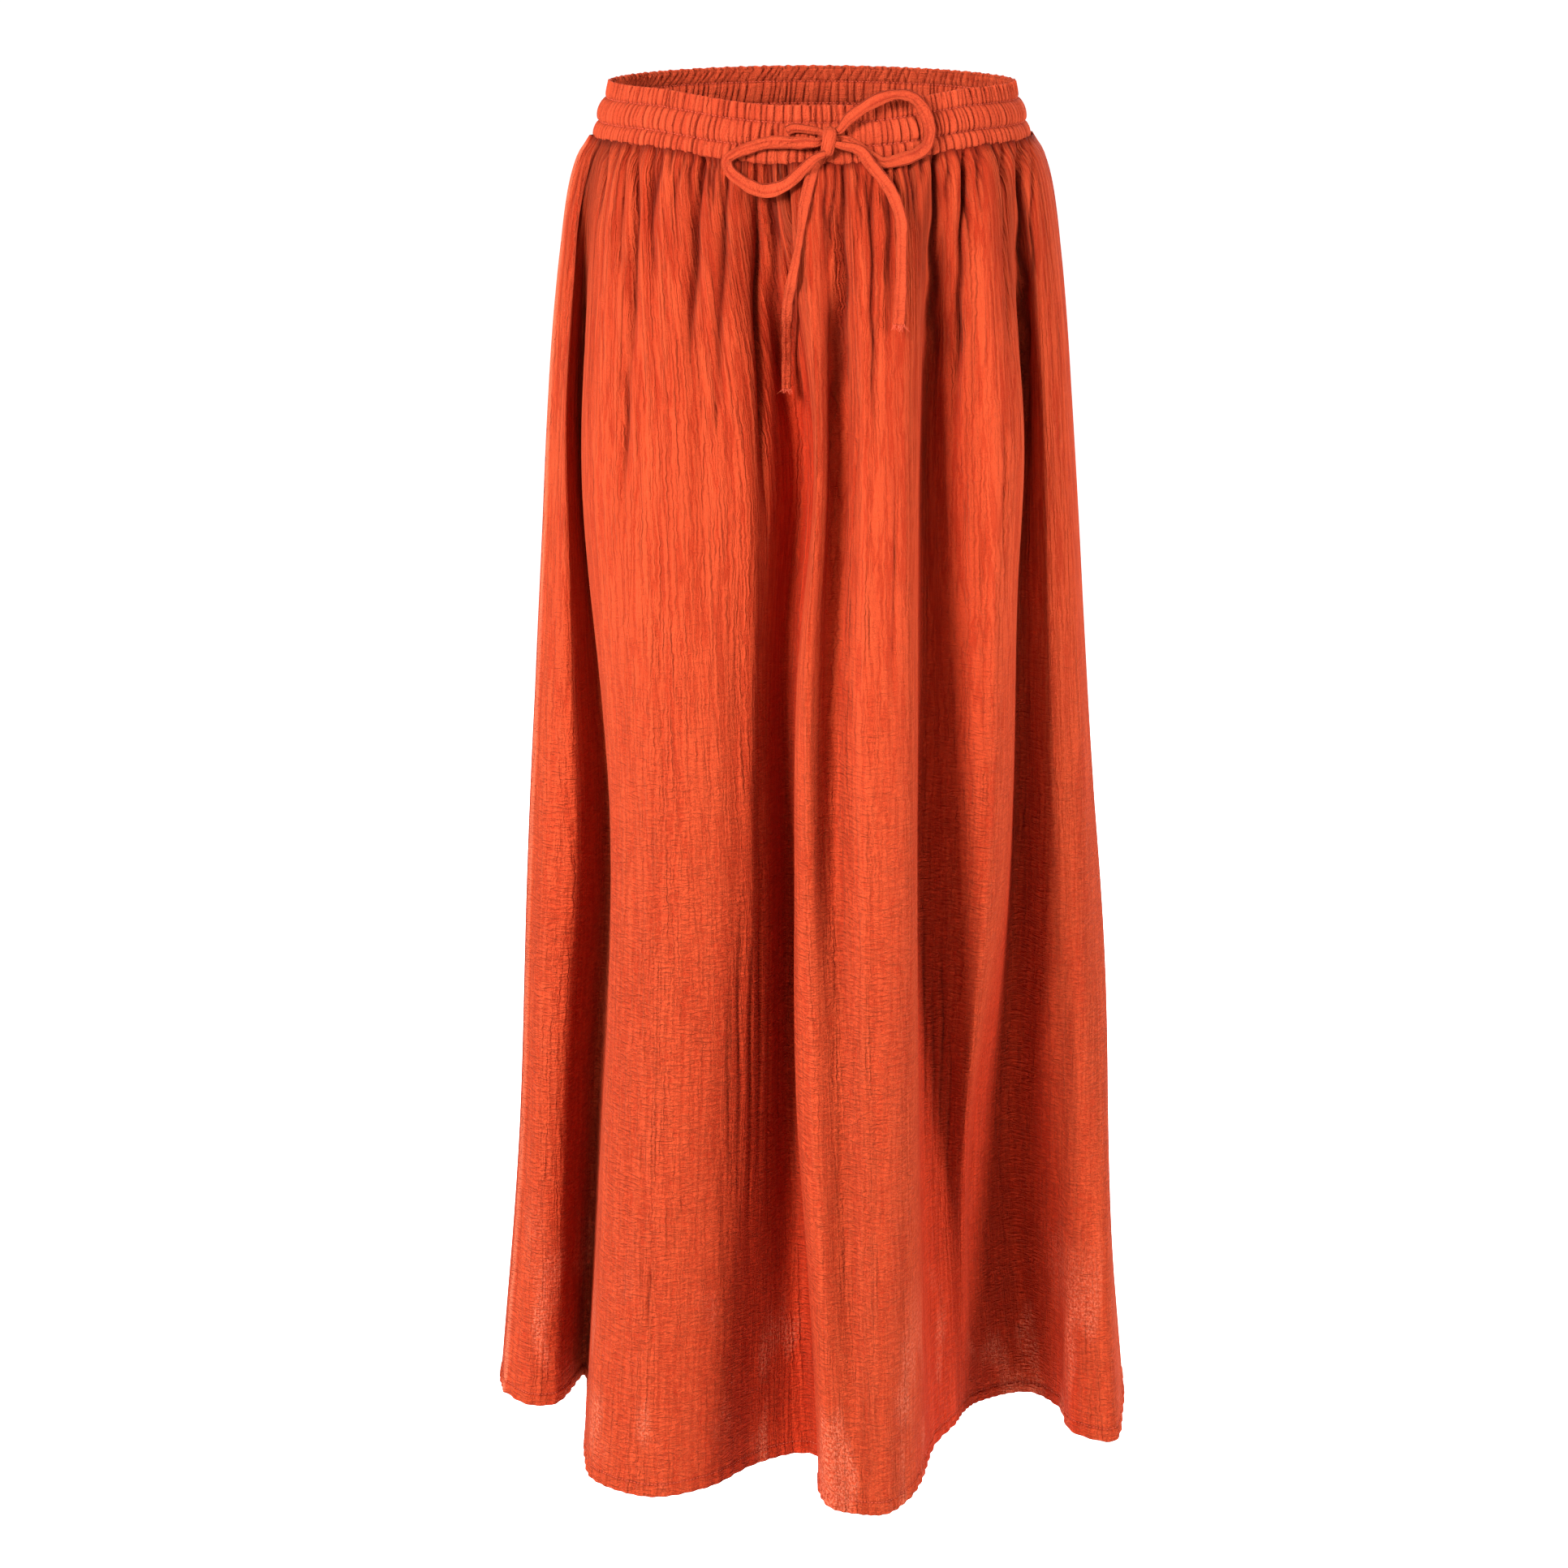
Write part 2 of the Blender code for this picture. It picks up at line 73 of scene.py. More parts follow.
# Rows of the band's mesh that carry the stitching: outside, then inside facing back.
STITCH_ROWS = ((9, 1.0), (23, 1.0), (45, -1.0), (56, -1.0))
HEM_WIDE = 1.06  # one panel's cut width at the hem
HEM_STITCH = 0.0012  # the hem's stitching below the top of its turning
# Closer rows of cells down the turned-up hem, by their height over its edge.
HEM_ROWS = (
    0.0125, 0.0112, 0.0103, 0.0096, 0.0090, 0.0084, 0.0078, 0.0068, 0.0054, 0.0038, 0.0022, 0.0009, 0.0,
)
# A stitch's length, width and height
BAND_STITCH, HEM_THREAD = (0.0019, 0.00055, 0.00032), (0.0019, 0.00050, 0.00030)
STRING_SIDES = 22
THREAD_COUNT, THREAD_RADIUS = 30, 0.00030


def table(kind, *rows):
    """Plain rows as named ones."""
    return tuple(kind(*row) for row in rows)


Section = namedtuple("Section", "drop half_width half_depth")
SECTIONS = table(
    Section,
    (0.0375, 0.1510, 0.1120), (0.0500, 0.1585, 0.1190), (0.0750, 0.1665, 0.1270),
    (0.1030, 0.1720, 0.1330), (0.1600, 0.1786, 0.1430), (0.2740, 0.1875, 0.1560),
    (0.4500, 0.1995, 0.1720), (0.6330, 0.2118, 0.1900), (0.8210, 0.2220, 0.2060),
    (0.9500, 0.2320, 0.2200),
)

# Fold edges, crests and valleys: angle on the band from the wearer's right-hand
# side round by the front, and plan place (x, y) in mm at MID_DROP and at the hem.
Station = namedtuple("Station", "name angle mid hem")
STATIONS = table(
    Station,
    ("left_seam", 7, (-195, -22), (-226, -20)), ("left_lobe_turn", 12, (-186, -38), (-206, -46)),
    ("left_lobe_edge", 16, (-173, -46), (-188, -44)), ("left_valley", 19, (-150, -10), (-169, 10)),
    ("lobe1_flank", 22, (-142, -52), (-163, -70)), ("lobe1_edge", 26, (-141, -95), (-161, -140)),
    ("lobe1_shoulder", 32, (-135, -125), (-153, -178)), ("lobe1_crest", 43, (-105, -155), (-112, -206)),
    ("lobe1_fall", 55, (-66, -158), (-73, -190)), ("centre_slope", 66, (-35, -140), (-40, -151)),
    ("centre_valley", 76, (-18, -106), (-10, -132)), ("centre_fold", 81, (-8, -118), (4, -136)),
    ("lobe2_edge", 84, (-12, -158), (6, -200)), ("lobe2_shoulder", 88, (-4, -177), (14, -225)),
    ("lobe2_trough", 94, (14, -156), (31, -234)), ("lobe2_crest", 102, (38, -186), (50, -235)),
    ("lobe2_fall", 110, (64, -175), (66, -213)), ("lobe2_right_edge", 115, (71, -152), (76, -185)),
    ("right_dark_valley", 120, (76, -106), (89, -118)), ("ridge3_rise", 126, (100, -112), (106, -80)),
    ("ridge3_crest", 134, (122, -130), (112, -62)), ("ridge3_edge", 141, (139, -95), (126, -41)),
    ("right_valley", 147, (148, -36), (163, -22)), ("right_lobe_edge", 154, (169, -58), (182, -48)),
    ("right_lobe_turn", 162, (187, -48), (190, -95)), ("right_lobe", 172, (197, -18), (217, -112)),
    ("right_side", 181, (199, 12), (228, -62)), ("right_seam", 188, (194, 42), (232, 5)),
    ("back1_lobe", 198, (182, 72), (217, 62)), ("back1_valley", 209, (158, 70), (178, 48)),
    ("back2_edge", 217, (146, 104), (170, 108)), ("back2_lobe", 226, (126, 136), (152, 162)),
    ("back2_fall", 235, (101, 145), (118, 152)), ("back2_valley", 241, (85, 118), (103, 104)),
    ("back3_edge", 247, (75, 146), (92, 165)), ("back3_lobe", 257, (52, 172), (58, 216)),
    ("back3_fall", 266, (24, 165), (24, 196)), ("back3_valley", 272, (8, 128), (8, 134)),
    ("back4_edge", 278, (-8, 158), (-12, 186)), ("back4_lobe", 288, (-36, 178), (-46, 228)),
    ("back4_fall", 298, (-66, 166), (-82, 196)), ("back4_valley", 304, (-83, 124), (-94, 122)),
    ("back5_edge", 311, (-99, 146), (-118, 158)), ("back5_lobe", 321, (-128, 144), (-152, 181)),
    ("back5_fall", 330, (-152, 114), (-177, 140)), ("back5_valley", 337, (-158, 66), (-172, 76)),
    ("back6_lobe", 346, (-185, 62), (-216, 76)), ("left_side", 357, (-199, 14), (-231, 22)),
)
RIGHT_SEAM, LEFT_SEAM = 27, len(STATIONS)

# Where a fold wanders off its smooth run: the drop and the reach of the shift (m),
# and the shift in x and y (mm).
Drift = namedtuple("Drift", "station drop reach dx dy")
DRIFTS = table(
    Drift,
    ("left_side", 0.200, 0.100, -1.5, 0), ("left_side", 0.710, 0.150, 3.5, 0),
    ("left_seam", 0.200, 0.100, -1.5, 0), ("left_seam", 0.710, 0.150, 3.5, 0),
    ("left_lobe_edge", 0.220, 0.090, -5, -2), ("left_lobe_edge", 0.530, 0.120, 7, 0),
    ("left_valley", 0.240, 0.130, -11, 12), ("left_valley", 0.540, 0.120, 5, 0),
    ("lobe1_flank", 0.250, 0.140, -15, 8), ("lobe1_flank", 0.560, 0.120, 4, 0),
    ("lobe1_edge", 0.250, 0.140, -16, -3), ("lobe1_edge", 0.560, 0.120, 3, 0),
    ("lobe1_shoulder", 0.240, 0.140, -12, -2), ("centre_slope", 0.240, 0.110, 10, 0),
    ("centre_valley", 0.230, 0.110, 15, 14), ("centre_fold", 0.230, 0.110, 15, 14),
    ("lobe2_edge", 0.230, 0.120, 15, -3), ("lobe2_edge", 0.660, 0.130, -5, 0),
    ("centre_fold", 0.660, 0.130, -4, 4), ("centre_valley", 0.660, 0.130, -4, 4),
    ("lobe2_shoulder", 0.230, 0.110, 8, -2), ("lobe2_trough", 0.240, 0.110, 9, 8),
    ("lobe2_trough", 0.620, 0.110, 0, -14), ("right_dark_valley", 0.210, 0.090, 0, 12),
    ("ridge3_rise", 0.720, 0.150, -6, 0), ("ridge3_crest", 0.720, 0.150, -9, 0),
    ("ridge3_edge", 0.230, 0.090, 8, 0), ("ridge3_edge", 0.740, 0.160, -17, 0),
    ("right_valley", 0.220, 0.090, 5, 12), ("right_valley", 0.740, 0.160, -10, 0),
    ("right_side", 0.200, 0.100, -2, 0), ("right_side", 0.620, 0.140, 4, 0),
    ("right_seam", 0.200, 0.100, -2, 0), ("right_seam", 0.620, 0.140, 4, 0),
)

# Creases laid in the front: where each starts and ends (x, drop) in mm,
# its half-width and depth in mm, and how sharp its bottom is (1 sharp, 2 soft).
Crease = namedtuple("Crease", "x_top top x_end end width depth form", defaults=(1.2,))
FRONT_CREASES = table(
    Crease,
    (-135, 24, -145, 95, 1.6, 1.5), (-128, 25, -134, 60, 1.3, 1.2), (-117, 26, -124, 215, 1.9, 2.1),
    (-113, 24, -114, 48, 1.2, 1.0), (-100, 29, -110, 96, 1.8, 1.8), (-93, 30, -95, 55, 1.2, 1.1),
    (-84, 31, -96, 85, 1.4, 0.8), (-74, 34, -86, 205, 2.2, 3.2, 1.1), (-78, 90, -72, 420, 8.0, 2.4, 2.0),
    (-72, 34, -74, 52, 1.1, 1.0), (-67, 35, -71, 66, 1.2, 1.2), (-64, 35, -69, 78, 1.3, 1.2),
    (-56, 37, -66, 230, 1.9, 2.0, 1.3), (-63, 190, -66, 225, 1.0, 1.0, 1.0),
    (-38, 38, -30, 300, 1.9, 3.0), (-31, 38, -15, 240, 2.2, 2.7), (-48, 38, -47, 70, 1.1, 1.0),
    (-23, 38, -22, 54, 1.2, 1.1), (-17, 38, -15, 240, 1.8, 2.4), (-2, 38, -3, 70, 1.2, 1.1),
    (8, 38, 8, 96, 1.2, 1.2), (15, 38, 8, 120, 1.5, 1.5), (20, 38, 16, 270, 2.3, 3.0),
    (18, 120, 10, 560, 7.5, 3.2, 2.0), (31, 175, 24, 330, 1.1, 1.3, 1.0),
    (26, 300, 20, 470, 1.0, 0.9, 1.1), (39, 38, 40, 250, 1.5, 1.7), (29, 38, 32, 90, 1.1, 1.0),
    (35, 38, 37, 90, 1.1, 1.0), (54, 37, 60, 120, 1.4, 1.6), (64, 37, 71, 90, 1.6, 1.5),
    (71, 35, 72, 56, 1.2, 1.0), (83, 34, 80, 230, 2.3, 3.0), (90, 34, 89, 80, 1.2, 1.2),
    (103, 34, 93, 250, 2.2, 2.7), (110, 33, 112, 90, 1.3, 1.1), (112, 28, 113, 50, 1.2, 1.0),
    (127, 23, 136, 200, 1.6, 1.8), (139, 20, 151, 290, 1.9, 2.7), (142, 24, 144, 64, 1.3, 1.1),
    (148, 35, 151, 160, 1.2, 0.9), (-124, 160, -128, 300, 2.4, 1.1, 1.4),
    (-101, 250, -104, 520, 5.0, 0.9, 2.0), (56, 200, 52, 470, 1.2, 0.6), (130, 190, 131, 360, 1.2, 0.7),
    (-64, 660, -60, 800, 5.0, 0.8, 1.8), (-56, 560, -58, 800, 1.4, 0.6, 1.1),
    (-49, 500, -51, 780, 1.3, 0.7, 1.1), (-42, 540, -44, 830, 1.5, 0.8, 1.1),
    (-35, 500, -37, 760, 1.3, 0.8, 1.1), (-29, 580, -31, 810, 1.4, 0.7, 1.1),
    (-22, 520, -23, 780, 1.3, 0.7, 1.1), (79, 520, 82, 790, 1.5, 0.8, 1.1),
    (85, 560, 88, 830, 1.3, 0.7, 1.1), (91, 540, 93, 780, 1.6, 0.8, 1.1),
    (97, 610, 98, 810, 1.2, 0.6, 1.1), (-89, 730, -98, 785, 1.1, 0.7, 1.0),
    (-112, 780, -114, 850, 1.2, 0.8, 1.0), (40, 620, 44, 860, 8.0, 1.2, 2.0),
    (-43, 100, -44, 800, 8.0, -2.4, 2.0), (-76, 300, -72, 800, 9.0, 0.6, 2.0),
    (-152, 75, -158, 190, 2.2, 1.8),
)

# Seeded gathers, short, middling and long: each kind's upper bound in a draw from 0
# to 1, the drop at its lower end (m) and its depth (mm).
Gather = namedtuple("Gather", "below end depth")
GATHERS = table(
    Gather,
    (0.56, (0.060, 0.095), (0.7, 1.4)),
    (0.88, (0.100, 0.170), (1.1, 1.9)),
    (1.0, (0.200, 0.340), (1.6, 2.5)),
)
WAIST_CREASE_TOP = 45  # a laid crease that starts above this drop (mm) is one of the gathers

# The drawstring's route: place across and up and how far it stands off the cloth
# behind it, and the string's width there (mm).
StringPoint = namedtuple("StringPoint", "x z out width")
EXIT_STRAND = table(
    StringPoint,
    (-17.6, 4.8, 4.8, 6.5), (-13.3, 6.6, 4.8, 7.0), (-6.3, 6.4, 4.8, 6.5), (-0.5, 5.4, 4.8, 5.5),
    (3.8, 4.6, 4.8, 5.0),
)
LEFT_LOOP = table(
    StringPoint,
    (3.4, -1.8, 8.2, 6.0), (-9.0, -2.3, 8.0, 9.0), (-30.5, -2.6, 7.0, 9.0), (-44.5, -7.0, 6.5, 8.5),
    (-53.1, -10.8, 6.5, 7.5), (-56.9, -14.0, 6.5, 7.0), (-56.4, -18.7, 6.5, 7.0), (-53.1, -23.1, 6.5, 8.0),
    (-40.2, -31.1, 6.5, 9.0), (-30.5, -33.1, 6.5, 9.0), (-17.6, -28.2, 8.5, 9.0), (-5.2, -17.4, 11.0, 8.0),
    (2.8, -11.0, 10.0, 6.0),
)
RIGHT_LOOP = table(
    StringPoint,
    (16.8, 5.6, 9.0, 5.5), (24.3, 13.7, 9.0, 8.0), (38.3, 22.8, 9.0, 8.5), (47.5, 26.8, 9.0, 8.0),
    (55.7, 28.1, 9.0, 7.0), (65.5, 26.3, 9.0, 7.5), (72.6, 19.3, 8.5, 8.5), (77.6, 6.5, 7.5, 8.5),
    (76.4, -4.5, 6.5, 8.5), (69.8, -10.4, 6.0, 9.0), (56.8, -14.2, 6.0, 9.0), (45.9, -15.5, 5.8, 8.0),
    (37.0, -10.6, 5.0, 7.0), (28.0, -3.8, 4.8, 6.5), (16.8, 0.4, 4.8, 5.0),
)
LEFT_TAIL = table(
    StringPoint,
    (5.6, -12.4, 3.8, 6.0), (0.7, -18.7, 3.8, 8.0), (-2.0, -26.2, 4.2, 8.5), (-5.2, -39.0, 4.2, 8.5),
    (-7.9, -56.1, 4.2, 6.0), (-10.6, -72.8, 4.2, 5.5), (-13.8, -90.3, 4.2, 7.5), (-16.5, -107.9, 4.2, 8.5),
    (-17.6, -135.6, 4.2, 6.5), (-17.6, -166.5, 4.2, 6.0),
)
RIGHT_TAIL = table(
    StringPoint,
    (16.8, -3.6, 8.4, 5.0), (30.3, -6.9, 9.0, 8.0), (38.4, -16.5, 9.5, 8.5), (47.0, -26.2, 8.0, 8.5),
    (53.9, -38.1, 6.0, 8.5), (58.3, -51.7, 5.0, 8.0), (58.8, -61.6, 4.2, 7.5), (58.3, -80.3, 4.2, 7.5),
    (58.3, -93.9, 4.2, 8.5), (56.7, -118.9, 4.2, 8.5),
)
# Inside the knot's wrap, where the strands turn out of sight
LEFT_TURNS = ((StringPoint(9.0, 1.6, 6.0, 5.0),), (StringPoint(8.0, -9.6, 6.8, 5.0),))
RIGHT_TURNS = ((StringPoint(11.0, 4.2, 5.5, 4.5),), (StringPoint(11.5, -1.6, 6.5, 4.5),))
KNOT_CENTRE = StringPoint(10.3, -1.4, 7.8, 10.0)
KNOT_HALF = (0.0049, 0.0046, 0.0098)
KNOT_LEAN = math.radians(-8.0)
KNOT_FOLDS = ((4.05, 0.55, 0.10), (4.55, 0.85, 0.09), (5.15, 0.60, 0.12), (5.65, 0.5, 0.1))


# ---------------------------------------------------------------- curves


def smooth(value):
    value = np.clip(value, 0.0, 1.0)
    return value * value * (3.0 - 2.0 * value)


def hermite(start, end, slope_start, slope_end, span, u):
    """The cubic between two values with given slopes, u from 0 to 1."""
    return (
        (1 + 2 * u) * (1 - u) ** 2 * start
        + u * (1 - u) ** 2 * span * slope_start
        + u * u * (3 - 2 * u) * end
        + u * u * (u - 1) * span * slope_end
    )


def read_table(places, values, place):
    """Read a table along a smooth curve that never overshoots its rows."""
    gaps = np.diff(places)
    rises = np.diff(values) / gaps
    slopes = np.append(rises[0], rises)
    for i in range(1, len(rises)):
        before, after = rises[i - 1], rises[i]
        slopes[i] = 2 * before * after / (before + after) if before * after > 0 else 0.0
    row = int(np.clip(np.searchsorted(places, place, side="right") - 1, 0, len(gaps) - 1))
    u = (place - places[row]) / gaps[row]
    return hermite(values[row], values[row + 1], slopes[row], slopes[row + 1], gaps[row], u)


def run_lengths(points):
    """How far along a line of points each one lies."""
    return np.append(0, np.cumsum(np.linalg.norm(np.diff(points, axis=0), axis=1)))


def read_line(places, reach, line):
    """The points of a line at these distances along it."""
    return np.column_stack([np.interp(places, reach, line[:, k]) for k in range(3)])


def read_row(drop, drops, points):
    """The row of points of a panel's grid at one drop."""
    columns = range(points.shape[1])
    return np.array([[np.interp(drop, drops, points[:, c, k]) for k in range(3)] for c in columns])


def unit(ways):
    return ways / np.linalg.norm(ways, axis=1)[:, None]


def half_sizes(drop):
    """Half the skirt's width and depth, with no folds, at one drop."""
    drops, widths, depths = np.array(SECTIONS).T
    return np.array([read_table(drops, widths, drop), read_table(drops, depths, drop)])


def station_angles():
    return np.radians([station.angle for station in STATIONS])


def station_places(drop):
    """Every station's (x, y): on the band's ring, then the middle, then the hem."""
    angles = station_angles()
    ring = -np.column_stack([np.cos(angles), np.sin(angles)])
    mid = np.array([station.mid for station in STATIONS]) / 1000 / half_sizes(MID_DROP)
    hem = np.array([station.hem for station in STATIONS]) / 1000 / half_sizes(HEM_DROP)
    upper, lower = MID_DROP - SEAM_DROP, HEM_DROP - MID_DROP
    upper_slope, lower_slope = (mid - ring) / upper, (hem - mid) / lower
    mid_slope = (upper_slope * lower + lower_slope * upper) / (upper + lower)
    if drop <= MID_DROP:
        u = (drop - SEAM_DROP) / upper
        places = hermite(ring, mid, upper_slope * UPPER_SPREAD, mid_slope, upper, u)
    else:
        u = (drop - MID_DROP) / lower
        places = hermite(mid, hem, mid_slope, lower_slope, lower, u)
    places = places * half_sizes(drop)
    rows = [station.name for station in STATIONS]
    for drift in DRIFTS:
        share = math.exp(-(((drop - drift.drop) / drift.reach) ** 2)) * smooth((drop - SEAM_DROP) / 0.06)
        places[rows.index(drift.station)] += np.array([drift.dx, drift.dy]) / 1000 * share
    return places


def closed_curve(points, counts):
    """Centripetal curve round the stations, read at station counts."""
    whole = np.floor(counts).astype(int)
    near = [points[(whole + step) % len(points)] for step in (-1, 0, 1, 2)]
    knots = [np.zeros((len(counts), 1))]
    for before, after in zip(near, near[1:]):
        knots.append(knots[-1] + np.sqrt(np.linalg.norm(after - before, axis=1))[:, None])
    place = knots[1] + (counts - whole)[:, None] * (knots[2] - knots[1])

    def mix(i, j, first, second):
        return ((knots[j] - place) * first + (place - knots[i]) * second) / (knots[j] - knots[i])

    first = [mix(i, i + 1, near[i], near[i + 1]) for i in range(3)]
    second = [mix(i, i + 2, first[i], first[i + 1]) for i in range(2)]
    return mix(1, 2, second[0], second[1])


def open_curve(points, steps):
    """Centripetal curve through all of a route's points."""
    points = np.asarray(points)
    padded = np.array([2 * points[0] - points[1], *points, 2 * points[-1] - points[-2]])
    counts = np.linspace(1, len(points), (len(points) - 1) * steps + 1)
    counts[-1] -= 1e-6
    return closed_curve(padded, counts)


def lift(angles):
    """How far the band rides up, at angles from the -X side round by the front."""
    from_front = np.abs((np.degrees(angles) - 90 + 180) % 360 - 180)
    sides = SIDE_LIFT * smooth((from_front - LIFT_START) / LIFT_SPAN)
    return sides + BACK_LIFT * smooth((from_front - 90) / 90)


def count_angles(counts):
    return np.interp(counts, np.arange(LEFT_SEAM + 1), np.append(station_angles(), math.radians(367)))


def cloth_row(drop, counts):
    """Points of the panels' face at one drop, and the cloth's outward directions."""
    places = station_places(drop)
    plan = closed_curve(places, counts)
    step = 0.02
    along = closed_curve(places, counts + step) - closed_curve(places, counts - step)
    outward = unit(np.column_stack([along[:, 1], -along[:, 0]]))
    rise = lift(count_angles(counts)) * (1 - smooth((drop - SEAM_DROP) / LIFT_FADE))
    return np.column_stack([plan, WAIST_TOP - drop + rise]), outward


def soft_noise(across, down, seed):
    """Smooth seeded noise, -1 to 1, one cell for each unit of its inputs."""
    rng = np.random.default_rng(seed)
    across, down = across - across.min(), down - down.min()
    lattice = rng.uniform(-1, 1, (int(down.max()) + 3, int(across.max()) + 3))
    i, j = np.floor(down).astype(int), np.floor(across).astype(int)
    v, u = smooth(down - i), smooth(across - j)
    top = lattice[i, j] * (1 - u) + lattice[i, j + 1] * u
    low = lattice[i + 1, j] * (1 - u) + lattice[i + 1, j + 1] * u
    return top * (1 - v) + low * v


def line_noise(places, cell, seed):
    """Smooth seeded noise along a line, with cells of this length."""
    pair = np.repeat(places[:, None], 2, 1) / cell
    return soft_noise(pair, np.zeros(pair.shape), seed)[:, 0]


# ---------------------------------------------------------------- meshes


def add_object(name, data):
    thing = bpy.data.objects.new(name, data)
    bpy.context.scene.collection.objects.link(thing)
    return thing


def grid_faces(rows, columns, closed=False):
    last = columns if closed else columns - 1
    row, column = np.meshgrid(np.arange(rows - 1), np.arange(last), indexing="ij")
    a = row * columns + column
    b = row * columns + (column + 1) % columns
    return np.stack([a, a + columns, b + columns, b], axis=-1).reshape(-1, 4)


def cloth_object(name, points, faces, material, across=None, down=None, hollow=None, sheltered=None):
    """A smooth mesh with its cloth coordinates in metres as its UV map, and how deep
    in a crease or between folds each point lies as its attributes, which the material
    turns into painted shade, and into a painted highlight where the crease share is below nought."""
    mesh = bpy.data.meshes.new(name)
    faces = faces.tolist() if isinstance(faces, np.ndarray) else faces
    mesh.from_pydata(np.asarray(points).reshape(-1, 3).tolist(), [], faces)
    if across is not None:
        uv = mesh.uv_layers.new(name="cloth_metres")
        loops = np.empty(len(mesh.loops), np.int32)
        mesh.loops.foreach_get("vertex_index", loops)
        flat = np.column_stack([np.asarray(across).ravel(), np.asarray(down).ravel()])
        uv.data.foreach_set("uv", flat[loops].astype(np.float32).ravel())
    for title, values in (("hollow", hollow), ("sheltered", sheltered)):
        if values is not None:
            depths = mesh.attributes.new(title, "FLOAT", "POINT")
            depths.data.foreach_set("value", np.asarray(values, np.float32).ravel())
    mesh.materials.append(material)
    mesh.shade_smooth()
    mesh.update()
    thing = add_object(name, mesh)
    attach(thing, "root")
    return thing


def crease_run(crease, drops, points, along):
    """Where a laid crease crosses each row, as a distance along the cloth."""
    run = np.zeros(len(drops))
    for row in np.nonzero((drops > crease.top / 1000 - 0.003) & (drops < crease.end / 1000))[0]:
        share = (drops[row] * 1000 - crease.top) / (crease.end - crease.top)
        x = (crease.x_top + (crease.x_end - crease.x_top) * share) / 1000
        places = points[row]
        miss = np.abs(places[:, 0] - x) + 0.05 * (places[:, 1] - places[:, 1].min())
        near = int(np.clip(np.argmin(miss), 1, len(places) - 2))
        run[row] = np.interp(x, places[near - 1 : near + 2, 0], along[row, near - 1 : near + 2])
    return run


def seam_gathers(first, last, seed, kept_clear=()):
    """Creases that start at the waist seam, of uneven spacing, depth and length."""
    rng = np.random.default_rng(seed)
    counts = np.linspace(first, last, 3000)
    ring = closed_curve(station_places(SEAM_DROP), counts)
    length = run_lengths(ring)
    place, found = rng.uniform(0.003, 0.006), []
    while place < length[-1] - 0.003:
        count = float(np.interp(place, length, counts))
        draw = rng.random()
        kind = next(row for row in GATHERS if draw < row.below)
        end, depth = rng.uniform(*kind.end), rng.uniform(*kind.depth)
        width = rng.uniform(1.0, 1.7)
        x = float(np.interp(count, counts, ring[:, 0])) * 1000
        if not any(abs(x - other) < 3.2 for other in kept_clear):
            found.append((count, rng.uniform(-0.12, 0.12), end, width, depth, rng.uniform(0.95, 1.2)))
        place += rng.uniform(0.0046, 0.0086)
    return found


def shelter(points):
    """How far each point lies inside its row's outline, 0 on the outer folds to 1."""
    found = np.zeros(points.shape[:2])
    ways = np.radians(np.arange(0, 360, 4))
    normals = np.stack([np.cos(ways), np.sin(ways)])
    for row, places in enumerate(points):
        reach = places[:, :2] @ normals
        found[row] = np.convolve((reach.max(axis=0) - reach).min(axis=1), np.ones(13) / 13, "same")
    return smooth((found - 0.004) / 0.045)


